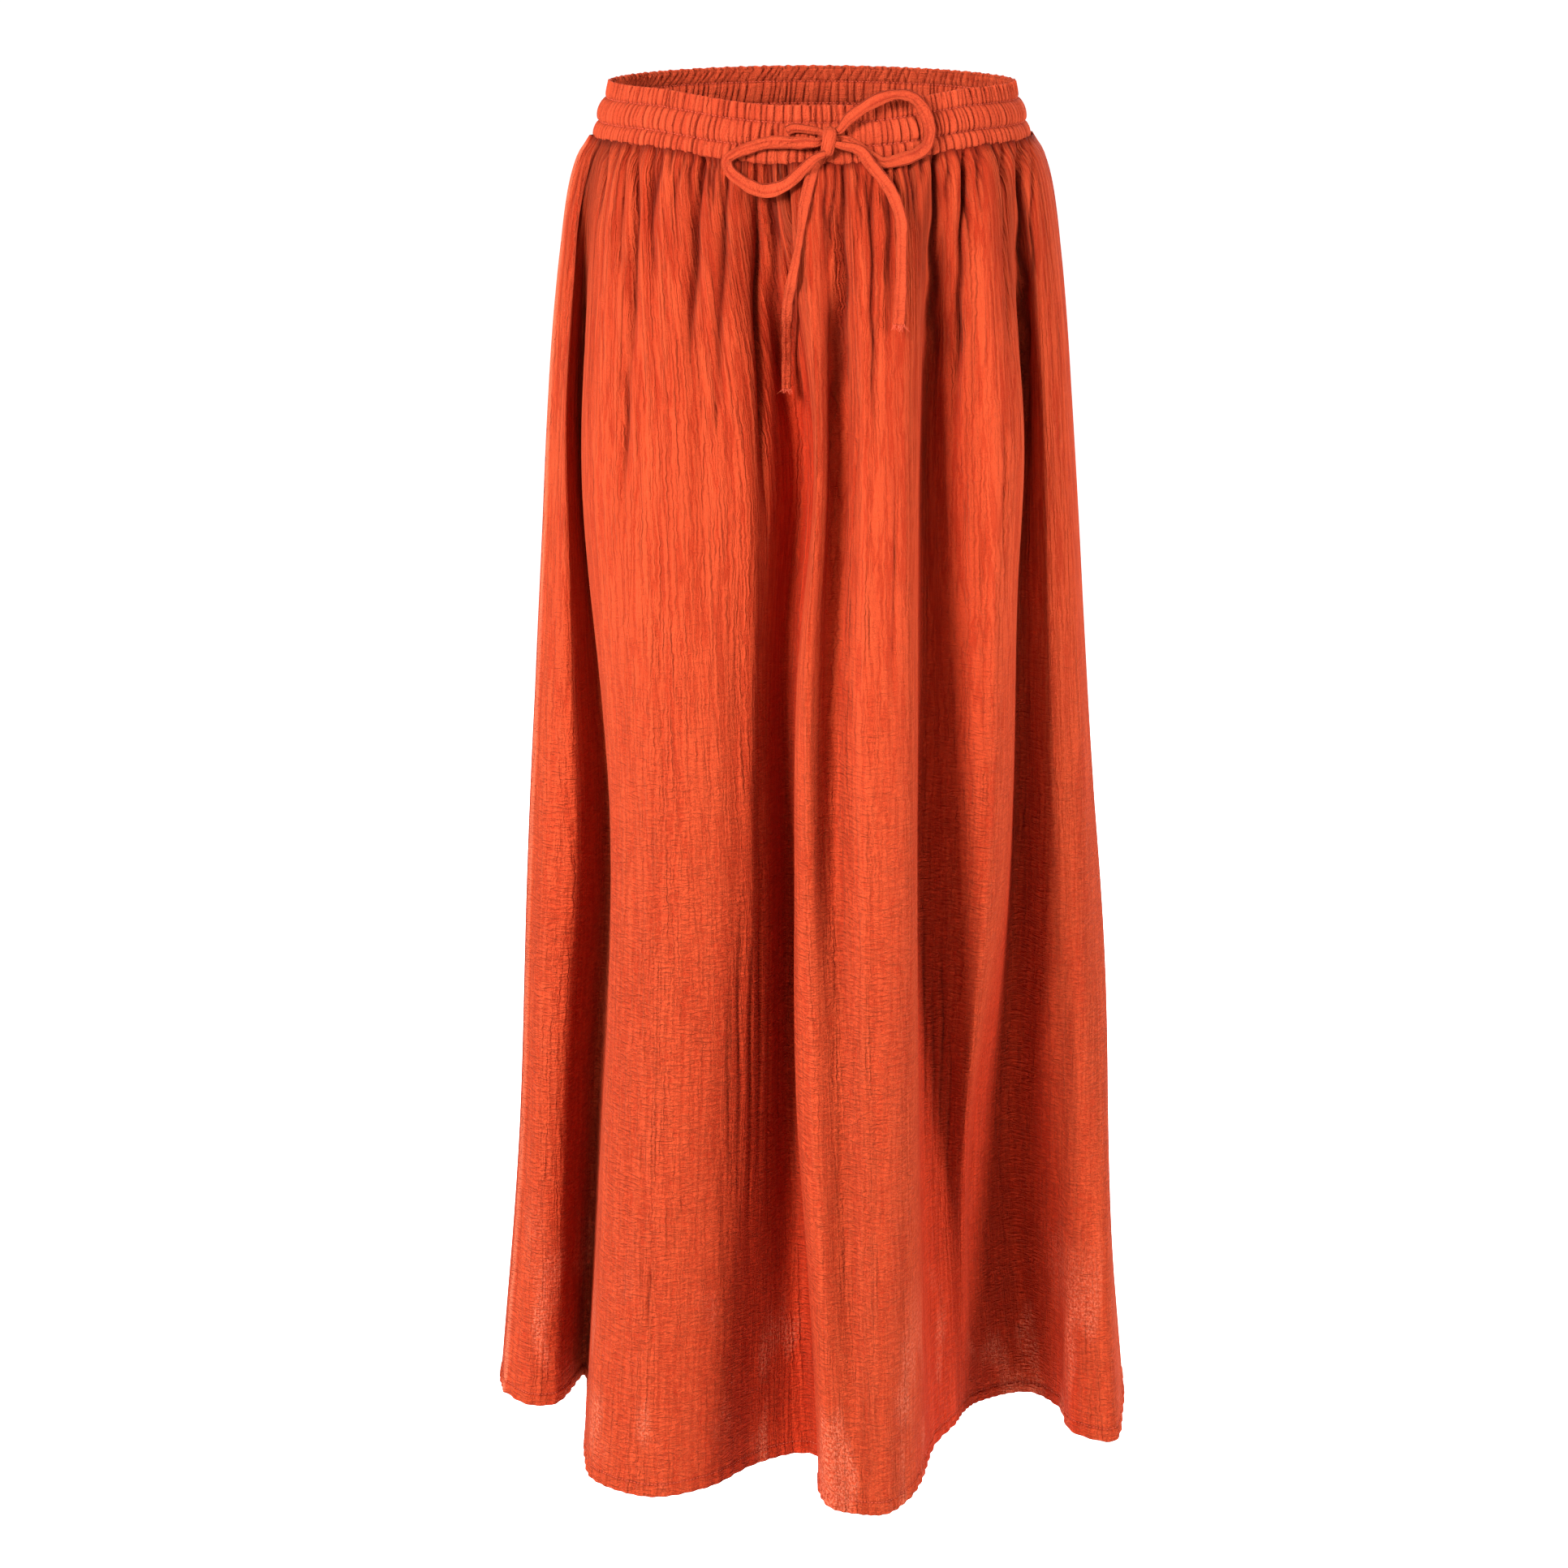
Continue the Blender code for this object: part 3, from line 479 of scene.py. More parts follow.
def panel_relief(sizes, points, counts, drops, along, first, last, seed):
    """How far the cloth stands out from its smooth folds: gathers, creases and crinkle."""
    relief, hollow = np.zeros(along.shape), np.zeros(along.shape)
    laid, clear = [], []
    for crease in FRONT_CREASES if first == 0 else ():
        run = crease_run(crease, drops, points, along)
        laid.append((run, crease.top / 1000, crease.end / 1000, crease.width, crease.depth, crease.form))
        if crease.top < WAIST_CREASE_TOP:
            clear.append(crease.x_top)
    for count, drift, end, width, depth, form in seam_gathers(first, last, seed, clear):
        share = np.clip((drops - SEAM_DROP) / (end - SEAM_DROP), 0, 1)
        run = np.array([np.interp(count + drift * u, counts, row) for u, row in zip(share, along)])
        laid.append((run, SEAM_DROP - 0.01, end, width, depth, form))
    for run, top, end, width, depth, form in laid:
        deep = depth / 1000 * sizes.gather_share * (1.0 if width < 4 else 0.55)
        rows = np.nonzero((drops > top - 0.002) & (drops < end))[0]
        for row in rows:
            share = (drops[row] - top) / (end - top)
            strength = smooth((1 - share) / 0.6)
            if top > SEAM_DROP + 0.01:
                strength *= smooth(share / 0.3)
                half = width / 1000
            else:
                half = width / 1000 * (1.25 + 1.25 * share)
            wander = 0.0007 * math.sin(share * 9 + run[row] * 60)
            gap = np.abs(along[row] - run[row] - wander) / half
            relief[row] -= deep * strength * np.exp(-(gap**form))
            # Narrow creases get painted shade along their bottoms.
            if width < 4:
                core = 0.75 * np.exp(-((gap / 0.52) ** 2)) + 0.22 * np.exp(-((gap / 1.2) ** 2))
                hollow[row] += min(depth / 1.1, 1.0) * strength * core
    down = drops[:, None] + 0 * along
    gathered = 1 - smooth((down - SEAM_DROP) / 0.075)
    relief += 0.0030 * gathered
    cloth = np.linspace(0, HEM_WIDE, along.shape[1])[None, :] + 0 * along
    bend = 0.004 * soft_noise(cloth / 0.05, down / 0.12, seed + 1)
    fine = soft_noise((cloth + bend) / 0.0062, down / 0.055, seed + 2)
    broad = soft_noise((cloth + bend) / 0.0135, down / 0.110, seed + 3)
    wide = soft_noise((cloth + 2 * bend) / 0.034, down / 0.26, seed + 4)
    patch = 0.55 + 0.45 * soft_noise(cloth / 0.05, down / 0.18, seed + 5)
    crinkle = 0.24 * fine * patch + 0.40 * (np.abs(broad) * 2 - 0.6) * patch + 0.75 * wide
    flatter = smooth((down - SEAM_DROP) / 0.06) * (1 - 0.4 * smooth((down - 0.3) / 0.3))
    relief += sizes.crinkle * crinkle * flatter
    # The side seams' welts and the pinch where the band's edge is sewn on, with painted shade in the pinch
    # and a painted highlight along the welts
    from_edge = np.minimum(along - along[:, :1], along[:, -1:] - along)
    relief -= 0.0005 * np.exp(-(from_edge / 0.0006))
    relief += 0.0019 * np.exp(-(((from_edge - 0.0020) / 0.0014) ** 2))
    relief -= 0.0016 * np.exp(-((down - SEAM_DROP) / 0.0028))
    hollow += 0.8 * np.exp(-((down - SEAM_DROP) / 0.0016))
    hollow -= np.exp(-(((from_edge - 0.0020) / 0.0012) ** 2))
    return relief, np.clip(hollow, -1, 1)


def build_panel(name, first, last, sizes, material, seed):
    """One gathered panel from seam to seam, its hem turned up inside."""
    many = np.linspace(first, last, 6000)
    lengths = np.zeros(len(many))
    for drop in (0.20, 0.45, 0.70, 0.93):
        reach = run_lengths(closed_curve(station_places(drop), many))
        lengths += reach / reach[-1]
    counts = np.interp(np.linspace(0, lengths[-1], sizes.columns), lengths, many)
    spread = np.linspace(0, 1, sizes.rows)
    top, low = SEAM_DROP - 0.0006, HEM_DROP - 0.0150
    drops = top + (low - top) * (0.55 * spread + 0.45 * spread**1.7)
    drops = np.append(drops, HEM_DROP - np.array(HEM_ROWS))
    rows = [cloth_row(max(drop, SEAM_DROP), counts) for drop in drops]
    points = np.array([row[0] for row in rows])
    outward = np.array([row[1] for row in rows])
    points[0, :, 2] += 0.0022
    step = np.linalg.norm(np.diff(points, axis=1), axis=2)
    along = np.concatenate([np.zeros((len(drops), 1)), np.cumsum(step, axis=1)], axis=1)
    relief, hollow = panel_relief(sizes, points, counts, drops, along, first, last, seed)
    # How far inside the folds each point lies, for the painted shade between folds.
    sheltered = shelter(points)
    # The turned-up hem is thicker, pinched along its stitching and softly rucked; painted shade darkens the
    # stitched pinch.
    to_hem = HEM_DROP - drops[:, None]
    seam_line = np.exp(-(((to_hem - sizes.hem_turn + HEM_STITCH) / 0.0008) ** 2))
    relief += 0.0007 * smooth((sizes.hem_turn - to_hem) / 0.0008) - 0.0009 * seam_line
    hollow = np.clip(hollow + 0.55 * seam_line, -1, 1)
    cloth = np.linspace(0, HEM_WIDE, len(counts))
    rucks = np.sin(cloth * 560 + 3 * np.sin(cloth * 23))[None, :]
    relief += 0.0005 * smooth((0.02 - to_hem) / 0.02) * rucks
    # The top edge stays inside the band's thickness, so no light shows through the seam.
    relief[0] = np.maximum(relief[0], -0.0010)
    points[..., :2] += outward * relief[..., None]
    # The edge rolls under and the turned-up hem runs back up inside.
    turned, turned_down = [], []
    for inset, rise in ((0.0004, -0.0007), (0.0012, -0.0009), (0.0019, -0.0003), (0.0021, 0.0010)):
        turned.append(points[-1] + np.column_stack([-outward[-1] * inset, np.full(len(counts), rise)]))
        turned_down.append(HEM_DROP + 0.001 + inset)
    for rise in (0.004, sizes.hem_turn - 0.0005):
        row = read_row(HEM_DROP - rise, drops, points)
        row[:, :2] -= outward[-1] * 0.0020
        turned.append(row)
        turned_down.append(HEM_DROP + 0.003 + rise)
    grid = np.concatenate([points, np.array(turned)], axis=0)
    down = np.append(drops, turned_down)[:, None] + np.zeros(len(counts))
    across = cloth[None, :] + np.zeros((len(down), 1))
    # The hem's inside gets no painted crease shade but the full painted shade between folds.
    inside = np.zeros((len(turned), len(counts)))
    hollow = np.concatenate([hollow, inside], axis=0)
    sheltered = np.concatenate([sheltered, inside + 1], axis=0)
    faces = grid_faces(len(grid), len(counts))
    thing = cloth_object("gathered_" + name, grid, faces, material, across, down, hollow, sheltered)
    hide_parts(name)
    return thing, points, outward


def pleat_grooves(seed, pitch, spread):
    """Centres (m round the band), widths and depths of one channel's pleat grooves."""
    rng = np.random.default_rng(seed)
    found, place = [], rng.uniform(0, pitch)
    while place < BAND_ROUND - pitch * 0.4:
        found.append((place, rng.uniform(0.34, 0.62), rng.uniform(0.7, 1.7), rng.uniform(-spread, spread)))
        place += pitch * rng.uniform(0.62, 1.42)
    return np.array(found)


def pleat_relief(around, grooves, v, slant):
    """The pleated cloth's face along one row: rounded pleats parted by narrow grooves."""
    relief = np.zeros(len(around))
    for place, width, depth, lean in grooves:
        off = around - place - (lean + slant) * (v - 0.5)
        gap = np.abs((off + BAND_ROUND / 2) % BAND_ROUND - BAND_ROUND / 2)
        near = gap < 0.006
        relief[near] -= depth * np.exp(-((gap[near] / (width / 1000)) ** 1.15))
    return relief


def band_half_sizes(drop, inset):
    share = drop / SEAM_DROP
    return [half + BAND_FLARE * share - inset for half in BAND_TOP_HALF]


def channel_shape(share, low_drop, high_drop):
    """How round a channel is at a share of its way up, and how far off its stitches."""
    free = high_drop == 0.0
    round_out = math.sin(math.pi * share * (0.5 if free else 1.0)) ** 0.7
    return round_out, min(share, 1.0 if free else 1.0 - share) * (low_drop - high_drop)


def build_waistband(sizes, material):
    """The shirred waistband: three stuffed channels, a frilled top edge and its inside."""
    columns = sizes.band_columns
    angles = np.linspace(0, 2 * math.pi, columns, endpoint=False)
    around = angles / (2 * math.pi) * BAND_ROUND
    first, second = STITCH_DROPS
    low_edge = SEAM_DROP - 0.0002
    outer = (
        (second, low_edge, 0.0014, 9, pleat_grooves(31, 0.0047, 0.0006)),
        (first, second, 0.0026, 14, pleat_grooves(32, 0.0046, 0.0009)),
        (0.0, first, 0.0009, 10, pleat_grooves(33, 0.0044, 0.0008)),
    )
    inner = (
        (0.0, first, 0.0006, 8, pleat_grooves(34, 0.0050, 0.0007), 0.0060),
        (first, second, 0.0016, 11, pleat_grooves(35, 0.0044, 0.0007), 0.0012),
        (second, low_edge, 0.0008, 6, pleat_grooves(36, 0.0047, 0.0006), 0.0008),
    )
    frill = 0.0005 * np.sin(around * 2 * math.pi / 0.0093 + 2.5 * np.sin(around * 61))
    frill += 0.0004 * np.sin(around * 2 * math.pi / 0.0051 + 1.5 * np.sin(around * 37))
    rows, downs, hollows = [], [], []

    def add_row(drop, down, inset, relief, groove, rise=0.0):
        width, depth = band_half_sizes(drop, inset)
        x, y = -(width + relief) * np.cos(angles), -(depth + relief) * np.sin(angles)
        rows.append(np.column_stack([x, y, WAIST_TOP - drop + lift(angles) + rise]))
        # Painted shade in the pleat grooves and along the stitching, for the material to darken.
        hollows.append(np.clip(groove, 0, 1))
        downs.append(down)

    # The string comes out of the middle channel by a small dent.
    slit = np.exp(-(((angles - 0.5 * math.pi + 0.176) * 0.108 / 0.0011) ** 2))
    for high_drop, low_drop, bulge, steps, grooves in outer:
        for k in range(steps + (high_drop == 0.0)):
            v = k / steps
            drop = low_drop + (high_drop - low_drop) * v
            round_out, off = channel_shape(v, low_drop, high_drop)
            pleats = pleat_relief(around, grooves, v, 0.0) / 1000 * sizes.pleat_share
            relief = bulge * round_out * (1 + 0.10 * np.sin(around * 93))
            relief += pleats * (0.55 + 0.75 * round_out)
            relief -= 0.0011 * math.exp(-off / 0.0007)
            if high_drop == 0.0:
                relief += frill * v
            if high_drop == first:
                relief -= 0.0030 * slit * math.exp(-(((v - 0.42) / 0.28) ** 4))
            add_row(drop, drop, 0.0, relief, -pleats / 0.0011 + 0.55 * math.exp(-off / 0.0006))
    top = pleat_relief(around, outer[2][4], 1.0, 0.0) / 1000
    for inset, rise in ((0.0003, 0.0007), (0.0010, 0.0011), (0.0018, 0.0008), (0.0023, 0.0001)):
        add_row(0.0, -rise, inset, frill + 0.0009 + top * 0.9, -top / 0.0014, rise + 0.4 * frill)
    for high_drop, low_drop, bulge, steps, grooves, slant in inner:
        for k in range(high_drop == 0.0, steps + (low_drop == low_edge)):
            v = k / steps
            drop = high_drop + (low_drop - high_drop) * v
            round_out, off = channel_shape(1 - v, low_drop, high_drop)
            pleats = pleat_relief(around, grooves, v, slant) / 1000 * sizes.pleat_share
            relief = -bulge * round_out - pleats * (0.6 + 0.7 * round_out) + 0.0004
            relief += 0.0010 * math.exp(-off / 0.0007)
            if high_drop == 0.0:
                relief += frill * (1 - v)
            groove = -pleats / 0.0011 + 0.55 * math.exp(-off / 0.0006)
            add_row(drop, -0.004 - drop, BAND_THICK, relief, groove)
    grid = np.array(rows)
    down = np.array(downs)[:, None] + np.zeros(columns)
    across = around[None, :] + np.zeros((len(down), 1))
    faces = grid_faces(len(grid), columns, closed=True)[:, ::-1]
    thing = cloth_object("gathered_waistband", grid, faces, material, across, down, np.array(hollows))
    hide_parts("waistband")
    return thing, grid


def stitch_mesh(paths, pitch, length, width, height, seed):
    """Points and faces of short thread stitches laid along paths of (points, outward)."""
    rng = np.random.default_rng(seed)
    points, faces = [], []
    ring = [(-0.5, 0.0), (-0.3, 0.75), (0.0, 1.0), (0.3, 0.75), (0.5, 0.0)]
    for line, outward, closed in paths:
        if closed:
            line, outward = np.vstack([line, line[:1]]), np.vstack([outward, outward[:1]])
        reach = run_lengths(line)
        for start in np.arange(pitch / 2, reach[-1] - length, pitch):
            start = start + rng.uniform(-0.06, 0.06) * pitch
            places = start + np.array([0.0, 0.18, 0.5, 0.82, 1.0]) * length * rng.uniform(0.9, 1.08)
            middle, out = read_line(places, reach, line), read_line(places, reach, outward)
            run = middle[-1] - middle[0]
            across = np.cross(run / np.linalg.norm(run), out[2])
            across /= np.linalg.norm(across)
            offset = len(points)
            for size, centre, way in zip((0.35, 0.9, 1.0, 0.9, 0.35), middle, out):
                sink = -0.4 * height if size < 0.5 else 0.0
                for side, up in ring:
                    points.append(centre + across * side * width * size + way * (up * height * size + sink))
            for k in range(4):
                for j in range(4):
                    a = offset + k * 5 + j
                    faces.append((a, a + 5, a + 6, a + 1))
    return np.array(points), faces


# ---------------------------------------------------------------- drawstring


def front_depth(x, z):
    """The y of the front-most cloth of the skirt, or of its band, about (x, z)."""
    drop = WAIST_TOP - z
    if drop < SEAM_DROP:
        share = max(drop, 0.0) / SEAM_DROP
        width, depth = [top + (low - top) * share for top, low in zip(BAND_TOP_HALF, BAND_LOW_HALF)]
        return -depth * math.sqrt(1 - (x / width) ** 2)
    counts = np.linspace(3, RIGHT_SEAM - 2, 400)
    plan = closed_curve(station_places(drop), counts)
    return float(plan[np.abs(plan[:, 0] - x) < STRING_REST, 1].min())


def route_centres(route):
    places = [(point.x / 1000, point.z / 1000, point.out / 1000) for point in route]
    return np.array([(x, front_depth(x, z) - out, z) for x, z, out in places])


def build_string(name, route, thickness, material, seed, nodes):
    """A flat tube of cloth along its route, softly crumpled, as one mesh."""
    rough = open_curve(route_centres(route), 14)
    widths = [point.width / 1000 for point in route]
    widths = np.interp(np.linspace(0, len(route) - 1, len(rough)), range(len(route)), widths)
    reach = run_lengths(rough)
    places = np.linspace(0, reach[-1], int(reach[-1] / 0.0011))
    centres = read_line(places, reach, rough)
    widths = np.interp(places, reach, widths)
    along = unit(np.gradient(centres, axis=0))
    across = unit(np.cross(along, (0.0, -1.0, 0.0)))
    facing = np.cross(across, along)
    turns = np.linspace(0, 2 * math.pi, STRING_SIDES, endpoint=False)
    side = np.sign(np.cos(turns)) * np.abs(np.cos(turns)) ** 0.62
    rise = np.sign(np.sin(turns)) * np.abs(np.sin(turns)) ** 0.85
    round_it = np.tile(np.arange(STRING_SIDES) / 3.5, (len(places), 1))
    crumple = soft_noise(np.repeat(places[:, None], STRING_SIDES, 1) / 0.0045, round_it, seed)
    ruck = line_noise(places, 0.011, seed + 1)
    edge = 1 + 0.08 * line_noise(places, 0.006, seed + 2)
    # One line of edge stitching and one soft fold down the middle, on the outer face
    seam = 0.00022 * np.exp(-(((side - 0.74) / 0.07) ** 2)) * (rise > 0)
    fold = 0.0002 * np.exp(-((side / 0.2) ** 2)) * (rise > 0)
    rows = []
    for k, centre in enumerate(centres):
        half = widths[k] / 2 * edge[k]
        thick = thickness / 2 + (0.009 - widths[k]) * 0.11
        lean = 0.42 * ruck[k]
        lean_across = across[k] * math.cos(lean) + facing[k] * math.sin(lean)
        lean_facing = facing[k] * math.cos(lean) - across[k] * math.sin(lean)
        out = rise * thick * (1 + 0.45 * crumple[k]) - seam - fold
        rows.append(centre + lean_across * (side * half)[:, None] + lean_facing * out[:, None])
    flat = np.array(rows).reshape(-1, 3)
    faces = grid_faces(len(rows), STRING_SIDES, closed=True)[:, ::-1].tolist()
    for end, row in enumerate((0, len(rows) - 1)):
        ring = [row * STRING_SIDES + k for k in range(STRING_SIDES)]
        for pair in zip(ring, ring[1:] + ring[:1]):
            faces.append((len(flat) + end, *(pair if row == 0 else pair[::-1])))
    flat = np.vstack([flat, centres[0], centres[-1]])
    u = np.append(np.tile(np.abs((np.arange(STRING_SIDES) / 11) - 1) * 0.009, len(rows)), [0.0045, 0.0045])
    v = np.append(np.repeat(places, STRING_SIDES), [places[0], places[-1]])
    thing = cloth_object(name, flat, faces, material, u, v)
    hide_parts(*nodes)
    return thing, centres, across, along, float(places[-1])


def build_threads(name, end, across, along, width, material, seed):
    """Loose threads at a string's raw end: thin tapered tubes that splay and curl."""
    rng = np.random.default_rng(seed)
    points, faces = [], []
    facing = np.cross(across, along)
    for _ in range(THREAD_COUNT):
        start = end + across * rng.uniform(-0.48, 0.48) * width + facing * rng.uniform(-0.0005, 0.0007)
        reach = rng.uniform(0.0015, 0.0056)
        way = along + across * rng.uniform(-0.9, 0.9) + facing * rng.uniform(-0.1, 0.35)
        curl = across * rng.uniform(-1.1, 1.1) + facing * rng.uniform(-0.3, 0.3)
        offset = len(points)
        for k in range(6):
            t = k / 5
            centre = start - along * 0.0008 + way * reach * t + curl * reach * 0.6 * t * t
            radius = THREAD_RADIUS * (1 - 0.5 * t)
            for j in range(5):
                turn = 2 * math.pi * j / 5
                points.append(centre + across * math.cos(turn) * radius + facing * math.sin(turn) * radius)
        for k in range(5):
            for j in range(5):
                a, b = offset + k * 5 + j, offset + k * 5 + (j + 1) % 5
                faces.append((a, b, b + 5, a + 5))
        faces.append(tuple(offset + 25 + j for j in range(5)))
    flat = np.array(points)
    thing = cloth_object(name, flat, faces, material, flat[:, 0], flat[:, 2])
    return thing


def build_knot(material):
    """The wrap that holds the bow: a puffed band of string with lengthwise folds."""
    centre = route_centres((KNOT_CENTRE,))[0]
    columns, rows = 72, 44
    turns = np.linspace(0, 2 * math.pi, columns, endpoint=False)
    grid = []
    for k in range(rows):
        fall = math.pi * (k + 0.5) / rows
        height = math.copysign(abs(math.cos(fall)) ** 0.75, math.cos(fall))
        girth = math.sin(fall) ** 0.55
        waist = 1 - 0.10 * math.exp(-((height / 0.35) ** 2))
        shift = 0.35 * height + 0.25 * math.sin(height * 2.2)
        relief = np.zeros(columns)
        for place, depth, thick in KNOT_FOLDS:
            gap = (turns - place - 0.45 * shift + math.pi) % (2 * math.pi) - math.pi
            relief -= depth * np.exp(-np.abs(gap / thick) ** 1.2)
        relief = relief / 1000 * girth
        x = np.sign(np.cos(turns)) * np.abs(np.cos(turns)) ** 0.8 * (KNOT_HALF[0] * girth * waist + relief)
        y = np.sign(np.sin(turns)) * np.abs(np.sin(turns)) ** 0.8 * (KNOT_HALF[1] * girth + relief)
        z = np.full(columns, KNOT_HALF[2] * height)
        lean_x = x * math.cos(KNOT_LEAN) - z * math.sin(KNOT_LEAN)
        lean_z = z * math.cos(KNOT_LEAN) + x * math.sin(KNOT_LEAN)
        grid.append(np.column_stack([centre[0] + lean_x, centre[1] + y, centre[2] + lean_z]))
    grid = np.array(grid)
    faces = grid_faces(rows, columns, closed=True).tolist()
    faces.append(tuple(range(columns)))
    faces.append(tuple((rows - 1) * columns + k for k in reversed(range(columns))))
    across = np.tile(turns * 0.0045, (rows, 1))
    down = np.repeat(np.linspace(0, 0.022, rows)[:, None], columns, 1)
    thing = cloth_object("drawstring_wrap", grid, faces, material, across, down)
    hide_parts("drawstring_knot")
    return thing


# ---------------------------------------------------------------- materials


class Nodes:
    """Short calls for building one material's node tree."""

    def __init__(self, name):
        self.material = bpy.data.materials.new(name)
        self.material.use_nodes = True
        self.tree = self.material.node_tree
        self.shader = self.tree.nodes["Principled BSDF"]

    def feed(self, socket, value):
        if isinstance(value, bpy.types.NodeSocket):
            self.tree.links.new(value, socket)
        else:
            socket.default_value = value

    def maths(self, operation, first, second=0.0, clamp=False):
        node = self.tree.nodes.new("ShaderNodeMath")
        node.operation, node.use_clamp = operation, clamp
        self.feed(node.inputs[0], first)
        self.feed(node.inputs[1], second)
        return node.outputs[0]

    def plus(self, first, second, clamp=False):
        return self.maths("ADD", first, second, clamp)

    def minus(self, first, second):
        return self.maths("SUBTRACT", first, second)

    def times(self, first, second, clamp=False):
        return self.maths("MULTIPLY", first, second, clamp)

    def off_middle(self, value, gain):
        """How far a noise is from its middle value, as a share of 1."""
        return self.times(self.maths("ABSOLUTE", self.minus(value, 0.5)), gain, True)

    def put(self, name, value):
        self.feed(self.shader.inputs[name], value)

    def attribute(self, name):
        node = self.tree.nodes.new("ShaderNodeAttribute")
        node.attribute_name = name
        return node.outputs[2]

    def bump(self, height, distance):
        node = self.tree.nodes.new("ShaderNodeBump")
        node.inputs["Strength"].default_value = 1.0
        node.inputs["Distance"].default_value = distance
        self.feed(node.inputs["Height"], height)
        self.put("Normal", node.outputs[0])

    def cloth_metres(self):
        uv = self.tree.nodes.new("ShaderNodeUVMap")
        uv.uv_map = "cloth_metres"
        return uv.outputs[0]

    def mix(self, share, first, second, blend="MIX"):
        node = self.tree.nodes.new("ShaderNodeMix")
        node.data_type, node.blend_type = "RGBA", blend
        self.feed(node.inputs[0], share)
        self.feed(node.inputs[6], first)
        self.feed(node.inputs[7], second)
        return node.outputs[2]

    def cloth_place(self, across, down, shift=None):
        """The cloth coordinates, scaled to so many cells for each metre."""
        place = self.cloth_metres()
        if shift is not None:
            way = self.tree.nodes.new("ShaderNodeCombineXYZ")
            self.feed(way.inputs[0], shift)
            moved = self.tree.nodes.new("ShaderNodeVectorMath")
            self.feed(moved.inputs[0], place)
            self.feed(moved.inputs[1], way.outputs[0])
            place = moved.outputs[0]
        scaled = self.tree.nodes.new("ShaderNodeVectorMath")
        scaled.operation = "MULTIPLY"
        self.feed(scaled.inputs[0], place)
        scaled.inputs[1].default_value = (across, down, 1.0)
        return scaled.outputs[0]

    def noise(self, across, down, detail=2.0, roughness=0.5, distortion=0.0, shift=None):
        node = self.tree.nodes.new("ShaderNodeTexNoise")
        node.noise_dimensions = "2D"
        self.feed(node.inputs["Vector"], self.cloth_place(across, down, shift))
        node.inputs["Scale"].default_value = 1.0
        node.inputs["Detail"].default_value = detail
        node.inputs["Roughness"].default_value = roughness
        node.inputs["Distortion"].default_value = distortion
        return node.outputs[0]

    def ramp(self, value, low, high):
        node = self.tree.nodes.new("ShaderNodeMapRange")
        node.interpolation_type = "SMOOTHSTEP"
        self.feed(node.inputs[0], value)
        node.inputs[1].default_value, node.inputs[2].default_value = low, high
        return node.outputs[0]


